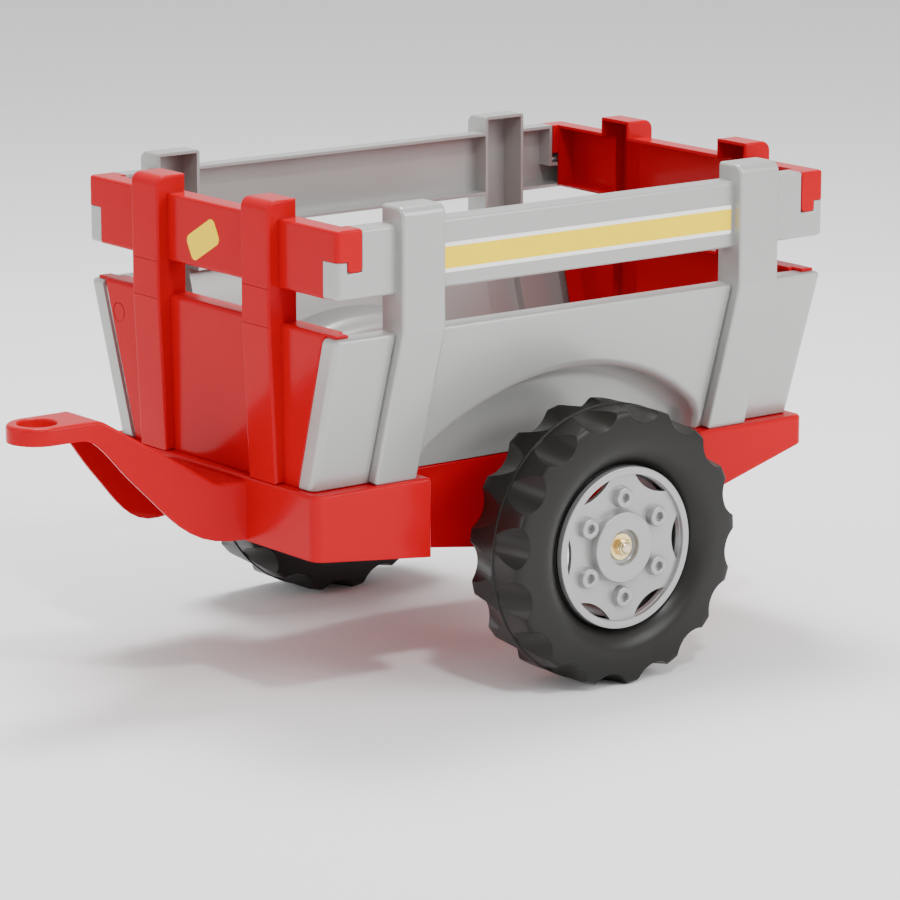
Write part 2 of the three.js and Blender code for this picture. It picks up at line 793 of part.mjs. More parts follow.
const washerY = hubCupY + clearance;
const nutY = washerY + washerThickness + clearance;
const wheelGeometry = {
  tyre: [toGeometry(tyre()), blackTyre],
  rim: [toGeometry(rim()), silverPlastic],
  hub_bush: [toGeometry(hubBush()), nylon],
};
const fixedGeometry = {
  axle_spacer: [
    toGeometry(
      ring(
        boreRadius + spacerWall,
        boreRadius,
        wheelBayHalfWidth + clearance,
        hubInnerY - clearance - bushFlange - spacerGap,
        16,
      ),
    ),
    nylon,
  ],
  axle_washer: [
    toGeometry(ring(axleRadius + washerWidth, boreRadius, washerY, washerY + washerThickness, 16)),
    brass,
  ],
  lock_nut: [toGeometry(ring(axleRadius + nutWall, boreRadius, nutY, nutY + nutHeight, 6, 16)), brass],
};
for (const [side, turn] of [
  ["left", 0],
  ["right", Math.PI],
]) {
  const wheel = new THREE.Group();
  wheel.rotation.z = turn;
  axle.add(wheel);
  for (const [piece, [geometry, material]] of Object.entries({ ...wheelGeometry, ...fixedGeometry })) {
    addPiece(wheel, `${piece}_${side}`, geometry, material());
  }
}

// Stick-on stripes on the side rails and a patch on the front rail.
const trimY = tubHalfWidth + clearance;
const trimZ = railTop - railHeight / 2 - trimDrop;
const stripeHalf = sidePostX - sidePostWidth / 2 - stripeMargin;
const stripe = toGeometry(
  box(
    -stripeHalf,
    stripeHalf,
    trimY,
    trimY + trimThickness,
    trimZ - stripeHeight / 2,
    trimZ + stripeHeight / 2,
  ),
);
addPiece(trailer, "stripe_left", stripe, finish(0xf6dc12, 0.35, 0));
addPiece(trailer, "stripe_right", stripe, finish(0xf6dc12, 0.35, 0)).scale.y = -1;

const trimX = tubHalfLength + clearance;
const badge = toGeometry(
  box(
    trimX,
    trimX + trimThickness,
    badgeY - badgeWidth / 2,
    badgeY + badgeWidth / 2,
    trimZ - badgeHeight / 2,
    trimZ + badgeHeight / 2,
  ),
);
addPiece(trailer, "front_badge", badge, finish(0xf6dc12, 0.35, 0));

export default trailer;
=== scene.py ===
# Child's farm trailer for a pedal tractor: a red moulded tray and drawbar, silver side panels with
# wheel arches, red front and tail boards that lift out, and black lugged wheels on a steel axle.
# Pieces are drawn in millimetres with x = 0 at the axle, and set into the row frame in metres.
import math

import bmesh
import bpy
from mathutils import Matrix, Vector


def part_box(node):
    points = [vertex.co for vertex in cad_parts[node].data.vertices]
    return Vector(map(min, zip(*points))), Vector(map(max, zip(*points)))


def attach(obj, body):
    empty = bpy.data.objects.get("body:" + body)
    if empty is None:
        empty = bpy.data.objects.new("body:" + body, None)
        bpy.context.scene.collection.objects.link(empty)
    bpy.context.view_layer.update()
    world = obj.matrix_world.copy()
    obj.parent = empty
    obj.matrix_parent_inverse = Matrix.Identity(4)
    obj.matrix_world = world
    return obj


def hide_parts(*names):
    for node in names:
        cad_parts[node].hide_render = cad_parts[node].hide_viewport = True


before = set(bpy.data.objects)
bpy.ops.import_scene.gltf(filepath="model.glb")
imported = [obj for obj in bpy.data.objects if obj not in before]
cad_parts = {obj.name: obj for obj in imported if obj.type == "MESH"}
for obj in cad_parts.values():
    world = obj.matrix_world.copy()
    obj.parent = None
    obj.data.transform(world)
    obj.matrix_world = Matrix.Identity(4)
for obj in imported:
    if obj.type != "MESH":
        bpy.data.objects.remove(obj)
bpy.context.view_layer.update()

# ---------------------------------------------------------------- studio
# A pale floor under four lamps: a soft one and a small bright one overhead, a broad one on the near
# side and a low one in front.
# The camera stands to the front left, a little above the rails, with a long lens.
CAMERA_AZIMUTH = math.radians(52.64)
CAMERA_ELEVATION = math.radians(12.64)
CAMERA_DISTANCE = 4.128
LENS = 179.4
AIM = Vector((-0.0897, 0.0, 0.171))
FLOOR_HALF = 30.0

towards_camera = Vector((
    math.cos(CAMERA_AZIMUTH) * math.cos(CAMERA_ELEVATION),
    math.sin(CAMERA_AZIMUTH) * math.cos(CAMERA_ELEVATION),
    math.sin(CAMERA_ELEVATION),
))
camera = bpy.data.objects.new("camera", bpy.data.cameras.new("camera"))
bpy.context.scene.collection.objects.link(camera)
camera.data.lens = LENS
camera.data.clip_end = 100.0
camera.location = AIM + towards_camera * CAMERA_DISTANCE
camera.rotation_euler = towards_camera.to_track_quat("Z", "Y").to_euler()
bpy.context.scene.camera = camera


def soft_lamp(name, place, aim, size, power):
    """A square area lamp at a place, turned to a point."""
    lamp = bpy.data.objects.new(name, bpy.data.lights.new(name, "AREA"))
    lamp.data.shape = "SQUARE"
    lamp.data.size = size
    lamp.data.energy = power
    lamp.location = place
    lamp.rotation_euler = (Vector(place) - Vector(aim)).to_track_quat("Z", "Y").to_euler()
    bpy.context.scene.collection.objects.link(lamp)


soft_lamp("top_lamp", (-0.5, -0.8, 2.8), (0, 0, 0.2), 1.0, 90)
soft_lamp("edge_lamp", (0.6, 2.2, 3.0), (0, 0, 0.2), 0.3, 45)
soft_lamp("side_lamp", (-1.4, 3.0, 1.9), (0, 0, 0.2), 1.8, 75)
soft_lamp("front_lamp", (3.2, -0.9, 1.3), (0, 0, 0.25), 1.4, 26)

floor_mesh = bpy.data.meshes.new("floor")
floor_mesh.from_pydata(
    [(x, y, 0) for x, y in ((-1, -1), (1, -1), (1, 1), (-1, 1))], [], [(0, 1, 2, 3)]
)
floor_mesh.transform(Matrix.Scale(FLOOR_HALF, 4))
floor = bpy.data.objects.new("floor", floor_mesh)
bpy.context.scene.collection.objects.link(floor)
floor_paint = bpy.data.materials.new("floor_paint")
floor_paint.use_nodes = True
floor_shader = floor_paint.node_tree.nodes["Principled BSDF"]
floor_shader.inputs["Base Color"].default_value = (0.93, 0.93, 0.935, 1)
floor_shader.inputs["Roughness"].default_value = 0.9
floor_shader.inputs["Specular IOR Level"].default_value = 0.1
floor_mesh.materials.append(floor_paint)

world = bpy.data.worlds.new("studio")
world.use_nodes = True
world.node_tree.nodes["Background"].inputs["Color"].default_value = (1.0, 1.0, 1.0, 1)
world.node_tree.nodes["Background"].inputs["Strength"].default_value = 0.9
bpy.context.scene.world = world

# ---------------------------------------------------------------- chassis tray and drawbar
# One glossy red moulding, open underneath: a level deck with wide ends and a narrow stretch between
# the wheels, skirts all round, ribs, axle bosses, tongue sockets and the drawbar with its eye.
MM = 0.001
rod_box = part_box("axle_rod")
AXLE_X = (rod_box[0].x + rod_box[1].x) / 2


def reach(node):
    """A CAD node's lowest and highest corner in millimetres, x counted from the axle."""
    shift = Vector((AXLE_X, 0, 0))
    return [(corner - shift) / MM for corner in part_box(node)]


tray_low, tray_high = reach("chassis_tray")
panel_low, panel_high = reach("side_panel_left")
AXLE_Z = (reach("axle_rod")[0].z + reach("axle_rod")[1].z) / 2
GAP = 0.3
WALL = 3.0
TONGUE = (28.0, 7.0, 9.0)
BOARD_FOOT = panel_low.z + TONGUE[2]
DECK_TOP = BOARD_FOOT - GAP
TRAY_HALF_LENGTH = -tray_low.x
TRAY_HALF_WIDTH = tray_high.y
BAY_HALF_LENGTH = 152.9
BAY_HALF_WIDTH = TRAY_HALF_WIDTH - 41.9
DRAWBAR_TOP = tray_high.z
DRAWBAR_DEPTH = 15.5
NECK_HALF_WIDTH = 27.0
ROOT_HALF_WIDTH = 61.6
EYE_X = tray_high.x - NECK_HALF_WIDTH
NECK_X = EYE_X - 41.0
RAMP_X = TRAY_HALF_LENGTH + 24.6
EYE_RADIUS = 17.0
AXLE_BORE = 5.3


def linked(mesh, name):
    solid = bpy.data.objects.new(name, mesh)
    bpy.context.scene.collection.objects.link(solid)
    return solid


def loft(rings, loop=False):
    """A solid skinned over rings of points, its ends capped, or joined where the rings make a loop."""
    bm = bmesh.new()
    rows = [[bm.verts.new(point) for point in ring] for ring in rings]
    pairs = list(zip(rows, rows[1:])) + ([(rows[-1], rows[0])] if loop else [])
    for near, far in pairs:
        for i in range(len(near)):
            j = (i + 1) % len(near)
            bm.faces.new((near[i], near[j], far[j], far[i]))
    if not loop:
        bm.faces.new(rows[0])
        bm.faces.new(rows[-1])
    bmesh.ops.recalc_face_normals(bm, faces=bm.faces)
    mesh = bpy.data.meshes.new("solid")
    bm.to_mesh(mesh)
    bm.free()
    return linked(mesh, "solid")


def prism(outline, axis, start, end):
    """A solid of one closed outline, drawn from start to end along an axis."""
    place = {
        "X": lambda a, b, t: (t, a, b),
        "Y": lambda a, b, t: (a, t, b),
        "Z": lambda a, b, t: (a, b, t),
    }[axis]
    return loft([[place(a, b, t) for a, b in outline] for t in (start, end)])


def block(low, high):
    """A block between two level rectangles, each given as x0, x1, y0, y1, z."""
    return loft([
        [(x0, y0, z), (x1, y0, z), (x1, y1, z), (x0, y1, z)] for x0, x1, y0, y1, z in (low, high)
    ])


def box(x0, x1, y0, y1, z0, z1):
    x0, x1 = sorted((x0, x1))
    y0, y1 = sorted((y0, y1))
    return block((x0, x1, y0, y1, z0), (x0, x1, y0, y1, z1))


def rounded(corners, steps=5):
    """An outline whose corners, (a, b, radius), are turned into arcs."""
    outline = []
    count = len(corners)
    for i, (a, b, radius) in enumerate(corners):
        here = Vector((a, b))
        back = (Vector(corners[i - 1][:2]) - here).normalized()
        ahead = (Vector(corners[(i + 1) % count][:2]) - here).normalized()
        half = back.angle(ahead, math.pi) / 2
        if radius <= 0 or half > math.radians(89):
            outline.append((a, b))
            continue
        centre = here + (back + ahead).normalized() * radius / math.sin(half)
        first = here + back * radius / math.tan(half) - centre
        last = here + ahead * radius / math.tan(half) - centre
        turn = first.angle_signed(last)
        for step in range(steps + 1):
            point = first.copy()
            point.rotate(Matrix.Rotation(-turn * step / steps, 2))
            outline.append(tuple(centre + point))
    return outline


def settle(solid):
    """Makes a solid's modifiers part of its mesh."""
    graph = bpy.context.evaluated_depsgraph_get()
    mesh = bpy.data.meshes.new_from_object(solid.evaluated_get(graph))
    solid.modifiers.clear()
    solid.data = mesh


def combine(solid, others, operation):
    for other in others:
        step = solid.modifiers.new(operation, "BOOLEAN")
        step.operation = operation
        step.solver = "MANIFOLD"
        step.object = other
        settle(solid)
        bpy.data.objects.remove(other)
    return solid


def join(solid, *others):
    return combine(solid, others, "UNION")


def cut(solid, *others):
    return combine(solid, others, "DIFFERENCE")


def common(solid, *others):
    return combine(solid, others, "INTERSECT")


def round_edges(solid, radius, where, steps=4):
    """Rounds the creased edges whose two ends pass a test."""
    bm = bmesh.new()
    bm.from_mesh(solid.data)
    chosen = []
    for edge in bm.edges:
        a, b = (vertex.co for vertex in edge.verts)
        creased = len(edge.link_faces) == 2 and edge.calc_face_angle(0) > math.radians(25)
        if creased and where(a, b):
            chosen.append(edge)
    bmesh.ops.bevel(
        bm, geom=chosen, offset=radius, offset_type="OFFSET", segments=steps, profile=0.5,
        affect="EDGES", clamp_overlap=False,
    )
    bm.to_mesh(solid.data)
    bm.free()
    return solid


def mirrored(solid, across):
    """A copy turned into its mirror image across the plane square to an axis."""
    mesh = solid.data.copy()
    scale = Vector([-1 if axis == across else 1 for axis in "XYZ"])
    mesh.transform(Matrix.Diagonal(scale).to_4x4())
    mesh.flip_normals()
    return linked(mesh, "solid")


def turned_about(solid, angle, axis):
    """A copy turned about an axis through the origin."""
    mesh = solid.data.copy()
    mesh.transform(Matrix.Rotation(angle, 4, axis))
    return linked(mesh, "solid")


def publish(solid, name, body, node, material, crease=32):
    """Sets a finished solid into the frame in metres, shaded smooth between its creases."""
    solid.data.transform(Matrix.Translation((AXLE_X, 0, 0)) @ Matrix.Scale(MM, 4))
    bm = bmesh.new()
    bm.from_mesh(solid.data)
    bmesh.ops.remove_doubles(bm, verts=bm.verts, dist=2e-6)
    bmesh.ops.dissolve_degenerate(bm, edges=bm.edges, dist=2e-6)
    bm.to_mesh(solid.data)
    bm.free()
    solid.data.shade_smooth()
    solid.data.set_sharp_from_angle(angle=math.radians(crease))
    weigh = solid.modifiers.new("weigh_normals", "WEIGHTED_NORMAL")
    weigh.keep_sharp = True
    settle(solid)
    solid.name = name
    solid.data.name = name
    solid.data.materials.clear()
    solid.data.materials.append(material)
    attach(solid, body)
    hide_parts(node)
    return solid


# Fine unevenness of a moulded surface: soft waves, a tight grain and faint handling marks.
def build_moulding_group():
    group = bpy.data.node_groups.new("moulded_surface", "ShaderNodeTree")
    for name, kind, value in (
        ("Color", "NodeSocketColor", (0.5, 0.5, 0.5, 1)),
        ("Mottle", "NodeSocketFloat", 0.04),
        ("Roughness", "NodeSocketFloat", 0.3),
        ("Rough Spread", "NodeSocketFloat", 0.08),
    ):
        socket = group.interface.new_socket(name, in_out="INPUT", socket_type=kind)
        socket.default_value = value
    for name, kind in (
        ("Color", "NodeSocketColor"), ("Roughness", "NodeSocketFloat"), ("Height", "NodeSocketFloat"),
    ):
        group.interface.new_socket(name, in_out="OUTPUT", socket_type=kind)
    nodes, links = group.nodes, group.links
    source = nodes.new("NodeGroupInput")
    result = nodes.new("NodeGroupOutput")
    place = nodes.new("ShaderNodeTexCoord")

    def noise(scale, detail):
        texture = nodes.new("ShaderNodeTexNoise")
        texture.inputs["Scale"].default_value = scale
        texture.inputs["Detail"].default_value = detail
        links.new(place.outputs["Object"], texture.inputs["Vector"])
        return texture.outputs["Fac"]

    def calculate(operation, a, b):
        node = nodes.new("ShaderNodeMath")
        node.operation = operation
        for socket, value in zip(node.inputs, (a, b)):
            if isinstance(value, (int, float)):
                socket.default_value = value
            else:
                links.new(value, socket)
        return node.outputs[0]

    cloud = noise(9, 3)
    grain = noise(900, 2)
    waves = noise(60, 2)
    marks = noise(240, 6)
    shade = calculate("MULTIPLY", calculate("SUBTRACT", cloud, 0.5), source.outputs["Mottle"])
    tint = nodes.new("ShaderNodeHueSaturation")
    links.new(source.outputs["Color"], tint.inputs["Color"])
    links.new(calculate("ADD", calculate("MULTIPLY", shade, 2), 1), tint.inputs["Value"])
    links.new(tint.outputs["Color"], result.inputs["Color"])
    spread = calculate("MULTIPLY", calculate("SUBTRACT", marks, 0.5), source.outputs["Rough Spread"])
    rough = calculate("ADD", source.outputs["Roughness"], calculate("MULTIPLY", spread, 2))
    links.new(rough, result.inputs["Roughness"])
    height = calculate("ADD", calculate("MULTIPLY", waves, 0.8), calculate("MULTIPLY", grain, 0.12))
    links.new(height, result.inputs["Height"])
    return group


moulded_surface = build_moulding_group()


def moulded_plastic(name, color, mottle, roughness, spread, bump, rim):
    """A plastic whose surface waves and grain come from the group, with softly rounded edges."""
    material = bpy.data.materials.new(name)
    material.use_nodes = True
    nodes, links = material.node_tree.nodes, material.node_tree.links
    shader = nodes["Principled BSDF"]
    surface = nodes.new("ShaderNodeGroup")
    surface.node_tree = moulded_surface
    surface.inputs["Color"].default_value = color
    surface.inputs["Mottle"].default_value = mottle
    surface.inputs["Roughness"].default_value = roughness
    surface.inputs["Rough Spread"].default_value = spread
    edge = nodes.new("ShaderNodeBevel")
    edge.samples = 4
    edge.inputs["Radius"].default_value = rim * MM
    relief = nodes.new("ShaderNodeBump")
    relief.inputs["Strength"].default_value = bump
    relief.inputs["Distance"].default_value = 0.2 * MM
    links.new(surface.outputs["Color"], shader.inputs["Base Color"])
    links.new(surface.outputs["Roughness"], shader.inputs["Roughness"])
    links.new(surface.outputs["Height"], relief.inputs["Height"])
    links.new(edge.outputs["Normal"], relief.inputs["Normal"])
    links.new(relief.outputs["Normal"], shader.inputs["Normal"])
    return material


red_plastic = moulded_plastic("red_plastic", (0.47, 0.0, 0.007, 1), 0.05, 0.2, 0.05, 0.25, 0.8)
red_shader = red_plastic.node_tree.nodes["Principled BSDF"]
red_shader.inputs["Coat Weight"].default_value = 0.05
red_shader.inputs["Coat Roughness"].default_value = 0.05
red_shader.inputs["Specular IOR Level"].default_value = 0.07


def tray_outline(inset):
    """Top view of the tray: wide rounded ends and a narrow stretch between the wheels."""
    length = TRAY_HALF_LENGTH - inset
    width = TRAY_HALF_WIDTH - inset
    bay = BAY_HALF_LENGTH + inset
    narrow = BAY_HALF_WIDTH - inset
    corner = max(9 - inset, 1)
    quarter = [(length, width, corner), (bay, width, 4), (bay, narrow, 3)]
    left = quarter + [(-x, y, radius) for x, y, radius in reversed(quarter)]
    return rounded(left + [(x, -y, radius) for x, y, radius in reversed(left)])


FAR = 1000.0
skirt = rounded([
    (-TRAY_HALF_LENGTH - FAR, AXLE_Z + 45, 0),
    (-TRAY_HALF_LENGTH, AXLE_Z + 45, 0),
    (-BAY_HALF_LENGTH, AXLE_Z + 8, 60),
    (-24, AXLE_Z - 19, 16),
    (24, AXLE_Z - 19, 16),
    (BAY_HALF_LENGTH, AXLE_Z - 1, 60),
    (TRAY_HALF_LENGTH, AXLE_Z + 12.5, 0),
    (TRAY_HALF_LENGTH + FAR, AXLE_Z + 12.5, 0),
    (TRAY_HALF_LENGTH + FAR, DECK_TOP + 40, 0),
    (-TRAY_HALF_LENGTH - FAR, DECK_TOP + 40, 0),
])
tray = common(prism(tray_outline(0), "Z", 60, DECK_TOP), prism(skirt, "Y", -300, 300))
round_edges(tray, 3.2, lambda a, b: min(a.z, b.z) > DECK_TOP - 0.1)
cut(tray, prism(tray_outline(WALL), "Z", 40, DECK_TOP - WALL))


def curve(points, steps=8):
    """Points along a cubic Bezier curve, without its first one."""
    p0, p1, p2, p3 = (Vector(point) for point in points)
    line = []
    for step in range(1, steps + 1):
        t = step / steps
        u = 1 - t
        line.append(tuple(p0 * u**3 + p1 * 3 * u * u * t + p2 * 3 * u * t * t + p3 * t**3))
    return line


def drawbar_plan(inset, root_x):
    """Top view of the drawbar, from the front wall to the rounded eye."""
    neck = NECK_HALF_WIDTH - inset
    root = ROOT_HALF_WIDTH - inset
    nose = [
        (EYE_X + neck * math.cos(turn), neck * math.sin(turn))
        for turn in (math.radians(-90 + 180 * step / 24) for step in range(25))
    ]
    side = rounded(
        [(root_x, root, 0), (TRAY_HALF_LENGTH, root, 0), (NECK_X, neck, 60), (EYE_X, neck, 0)]
    )
    left = [(x, y) for x, y in side[:-1]]
    return [(x, -y) for x, y in left] + nose + left[::-1]


def drawbar_side(root_x, drop):
    """Side view: level at the eye, a swept ramp and a deep root; drop leaves the top plate."""
    top = DRAWBAR_TOP - drop
    root_top = BOARD_FOOT - 5 - drop
    under = -40 if drop else 0
    eye_bottom = DRAWBAR_TOP - DRAWBAR_DEPTH + under
    foot = AXLE_Z + 13.5 + under
    front = TRAY_HALF_LENGTH
    tip = tray_high.x + 20
    lower = [(root_x, foot), (front + 15, foot)]
    lower += curve([
        (front + 15, foot), (front + 52, foot), (front + 68, foot + 26), (front + 97, foot + 56),
    ])
    lower += curve([
        (front + 97, foot + 56), (front + 122, foot + 82), (NECK_X - 5, eye_bottom),
        (NECK_X + 14, eye_bottom),
    ])
    upper = rounded([
        (tip, eye_bottom, 0),
        (tip, top, 0),
        (NECK_X - 7, top, 18),
        (RAMP_X, root_top, 18),
        (root_x, root_top, 0),
    ], steps=8)
    return lower + upper


ROOT_X = TRAY_HALF_LENGTH - WALL
drawbar = common(
    prism(drawbar_plan(0, ROOT_X), "Z", 60, DRAWBAR_TOP + 10),
    prism(drawbar_side(ROOT_X, 0), "Y", -200, 200),
)


def on_drawbar_rim(a, b):
    """True for the long upper edges between the drawbar's top and its sides."""
    ramp = (DRAWBAR_TOP - BOARD_FOOT) / (NECK_X - 5 - RAMP_X)
    middle = (a + b) / 2
    level = BOARD_FOOT - 9 + max(0, middle.x - RAMP_X) * ramp
    along = abs(a.y - b.y) < 0.9 * (a - b).length or middle.x > EYE_X
    return middle.x > TRAY_HALF_LENGTH + 1 and middle.z > min(level, DRAWBAR_TOP - 6) and along


round_edges(drawbar, 3.4, on_drawbar_rim)
cut(drawbar, common(
    prism(drawbar_plan(WALL, TRAY_HALF_LENGTH), "Z", 60, DRAWBAR_TOP + 10),
    prism(drawbar_side(TRAY_HALF_LENGTH, WALL), "Y", -200, 200),
))


def pole(radius, x, y, z0, z1, sides=48):
    """An upright cylinder."""
    ring = [(radius * math.cos(t), radius * math.sin(t))
            for t in (2 * math.pi * i / sides for i in range(sides))]
    return prism([(x + a, y + b) for a, b in ring], "Z", z0, z1)


def pin(radius, y0, y1, x=0, z=0, sides=64):
    """A cylinder along Y."""
    ring = [(x + radius * math.cos(t), z + radius * math.sin(t))
            for t in (2 * math.pi * i / sides for i in range(sides))]
    return prism(ring, "Y", y0, y1)


join(tray, drawbar)
join(tray, pole(EYE_RADIUS + WALL, EYE_X, 0, DRAWBAR_TOP - DRAWBAR_DEPTH, DRAWBAR_TOP - 1))
RIB_FOOT = DECK_TOP - 26
rib_end = TRAY_HALF_LENGTH - 64.4
for x, half in (
    (-rib_end, TRAY_HALF_WIDTH), (-75, BAY_HALF_WIDTH), (75, BAY_HALF_WIDTH), (rib_end, TRAY_HALF_WIDTH),
):
    join(tray, box(x - WALL / 2, x + WALL / 2, 1 - half, half - 1, RIB_FOOT, DECK_TOP - 1))
join(tray, box(
    1 - TRAY_HALF_LENGTH, TRAY_HALF_LENGTH - 1, -WALL / 2, WALL / 2, RIB_FOOT + 4, DECK_TOP - 1,
))
for side in (-1, 1):
    inner, outer = sorted((side * (BAY_HALF_WIDTH - 16), side * (BAY_HALF_WIDTH - 1)))
    join(tray, pin(11, inner, outer, z=AXLE_Z))
cut(tray, pin(AXLE_BORE, -FAR, FAR, z=AXLE_Z))
cut(tray, pole(EYE_RADIUS, EYE_X, 0, 60, DRAWBAR_TOP + 20))
round_edges(
    tray, 2.2,
    lambda a, b: min(a.z, b.z) > DRAWBAR_TOP - 0.1 and max(
        math.hypot(a.x - EYE_X, a.y), math.hypot(b.x - EYE_X, b.y)) < EYE_RADIUS + 0.5,
)
TUB_HALF_LENGTH = panel_high.x
POST_PROUD = 10.0
TUB_HALF_WIDTH = panel_high.y - POST_PROUD
SIDE_LEAN = 42.0
END_LEAN = 3.0
DEPTH = 20.0
END_RECESS = 1.5
SIDE_POST_X = TUB_HALF_LENGTH - 85.4
END_POST_Y = TUB_HALF_WIDTH - 106.7
SIDE_TONGUE_Y = TUB_HALF_WIDTH - SIDE_LEAN - DEPTH / 2
END_TONGUE_X = TUB_HALF_LENGTH - END_RECESS - END_LEAN - DEPTH / 2
for end in (-1, 1):
    for side in (-1, 1):
        for x, y, half_x, half_y in (
            (end * SIDE_POST_X, side * SIDE_TONGUE_Y, TONGUE[0] / 2, TONGUE[1] / 2),
            (end * END_TONGUE_X, side * END_POST_Y, TONGUE[1] / 2, TONGUE[0] / 2),
        ):
            grow = GAP + WALL / 2
            foot = BOARD_FOOT - TONGUE[2] - GAP
            join(tray, box(
                x - half_x - grow, x + half_x + grow, y - half_y - grow, y + half_y + grow,
                foot - WALL / 2, DECK_TOP - 1,
            ))
            cut(tray, box(
                x - half_x - GAP, x + half_x + GAP, y - half_y - GAP, y + half_y + GAP,
                foot, DECK_TOP + 5,
            ))
publish(tray, "tray_and_drawbar", "trailer", "chassis_tray", red_plastic)

# ---------------------------------------------------------------- side panels
# Silver-grey mouldings, open towards the tub: a leaning board with a pressed-in wheel arch, a rail
# above it, two posts that join them, and notches at the rail's ends for the end boards' hooks.
BOARD_HEIGHT = 139.0
SLOT_HEIGHT = 33.6
RAIL_HEIGHT = 60.5
POST_WIDTH = 46.0
POST_CAP = 9.0
HOOK_REACH = 26.4
HOOK_HEIGHT = 27.0
TAB_WIDTH = 14.7
TAB_DROP = 9.5
BOARD_TOP = BOARD_FOOT + BOARD_HEIGHT
RAIL_FOOT = BOARD_TOP + SLOT_HEIGHT
RAIL_TOP = RAIL_FOOT + RAIL_HEIGHT
POST_TOP = panel_high.z
ARCH_RADIUS = 232.0
ARCH_EDGE = 20.0
ARCH_SHOULDER = 12.0
ARCH_FLOOR_Y = BAY_HALF_WIDTH + 0.5
tyre_low, tyre_high = reach("tyre_left")
TYRE_RADIUS = (tyre_high.z - tyre_low.z) / 2
ARCH_TOP = 2 * TYRE_RADIUS + 25.6
ARCH_HALF = TYRE_RADIUS + 33


def lean(amount, z):
    """How far a leaning face stands inside its top at a height."""
    return amount * max(0, BOARD_TOP - z) / BOARD_HEIGHT


def post_profile(face, slant, foot_proud, proud, inset):
    """Side view of a post: a leaning foot, an upright top and a rounded cap."""
    back = face - DEPTH - (5 if inset else 0)
    front = face + proud - inset
    foot = BOARD_FOOT + inset
    top = POST_TOP - inset
    return rounded([
        (back - lean(slant, foot), foot, 0),
        (face + foot_proud - inset - lean(slant, foot), foot, 0),
        (front, BOARD_TOP, 14),
        (front, top, POST_CAP - inset),
        (back, top, 0),
        (back, BOARD_TOP, 0),
    ])


def arch_outline(grow):
    """Side view of the wheel arch, a wide flat arc with rounded shoulders."""
    radius = ARCH_RADIUS + grow
    half = ARCH_HALF + grow
    centre = ARCH_TOP - ARCH_RADIUS
    turn = half - ARCH_SHOULDER
    height = lambda x: centre + math.sqrt(radius**2 - x**2)
    slope = turn / (height(turn) - centre)
    shoulder = height(turn) - slope * (half - turn)
    right = [(half, BOARD_FOOT - 60), (half, shoulder - ARCH_SHOULDER)]
    for step in range(1, 6):
        t = step / 5
        a, b, c = (1 - t) ** 2, 2 * t * (1 - t), t * t
        right.append((a * half + b * half + c * turn,
                      a * (shoulder - ARCH_SHOULDER) + b * shoulder + c * height(turn)))
    arc = [(turn * (1 - 2 * step / 40), height(turn * (1 - 2 * step / 40))) for step in range(1, 40)]
    return right + arc + [(-x, z) for x, z in reversed(right)]


def arch_solid(grow, rim=0.0):
    """The arch from its recess floor outwards; rim rounds it out into the board's leaning face."""
    floor_y = ARCH_FLOOR_Y - grow
    rings = []
    for step in range(9):
        turn = math.radians(90 * step / 8)
        shrink = ARCH_EDGE * (1 - math.sin(turn))
        y = floor_y + ARCH_EDGE * (1 - math.cos(turn))
        rings.append([(x, y, z) for x, z in arch_outline(grow - shrink)])
    least_y = floor_y + ARCH_EDGE + 1
    for step in range(9 if rim else 0):
        turn = math.radians(90 * step / 8)
        sunk = rim * (1 - math.sin(turn))
        rings.append([
            (x, max(TUB_HALF_WIDTH - lean(SIDE_LEAN, z) - sunk, least_y), z)
            for x, z in arch_outline(grow + rim * (1 - math.cos(turn)))
        ])
    rings.append([(x, TUB_HALF_WIDTH + 60, z) for x, z in arch_outline(grow + rim)])
    return loft(rings)


def side_level(z, inset, behind):
    """The side board's rectangle at a height."""
    return (
        -(TUB_HALF_LENGTH - lean(END_LEAN, z) - inset),
        TUB_HALF_LENGTH - lean(END_LEAN, z) - inset,
        TUB_HALF_WIDTH - lean(SIDE_LEAN, z) - DEPTH - behind,
        TUB_HALF_WIDTH - lean(SIDE_LEAN, z) - inset,
        z,
    )


BACK = TUB_HALF_WIDTH - DEPTH


def out_from(a, b, margin=1.0):
    """True where an edge lies outside the panel's open back."""
    middle = (a + b) / 2
    return middle.y > BACK - lean(SIDE_LEAN, middle.z) + margin


board = block(side_level(BOARD_FOOT, 0, 0), side_level(BOARD_TOP, 0, 0))
round_edges(board, 6, lambda a, b: abs(a.z - b.z) > 50 and out_from(a, b, DEPTH - 1), steps=6)
round_edges(board, 4.5, lambda a, b: min(a.z, b.z) > BOARD_TOP - 0.1 and out_from(a, b), steps=5)
round_edges(board, 1.5, lambda a, b: max(a.z, b.z) < BOARD_FOOT + 0.1 and out_from(a, b), steps=3)
for x in (-SIDE_POST_X, SIDE_POST_X):
    for edge, width in ((POST_WIDTH / 2, 1.4), (-POST_WIDTH / 2 - 0.8, 0.8)):
        low_y = TUB_HALF_WIDTH - SIDE_LEAN
        groove = [(low_y - 1.6, BOARD_FOOT), (low_y + 3, BOARD_FOOT),
                  (TUB_HALF_WIDTH + 3, BOARD_TOP), (TUB_HALF_WIDTH - 1.6, BOARD_TOP)]
        groove = [(y - SIDE_LEAN * 0.01 * far, z - BOARD_HEIGHT * 0.01 * far)
                  for (y, z), far in zip(groove, (1, 1, -1, -1))]
        cut(board, prism(groove, "X", x + edge, x + edge + width))
board_hollow = block(
    side_level(BOARD_FOOT + WALL, WALL, 5), side_level(BOARD_TOP - WALL, WALL, 5)
)
rail = box(-TUB_HALF_LENGTH, TUB_HALF_LENGTH, BACK, TUB_HALF_WIDTH, RAIL_FOOT, RAIL_TOP)
round_edges(rail, 6, lambda a, b: abs(a.z - b.z) > 50 and out_from(a, b, DEPTH - 1), steps=6)
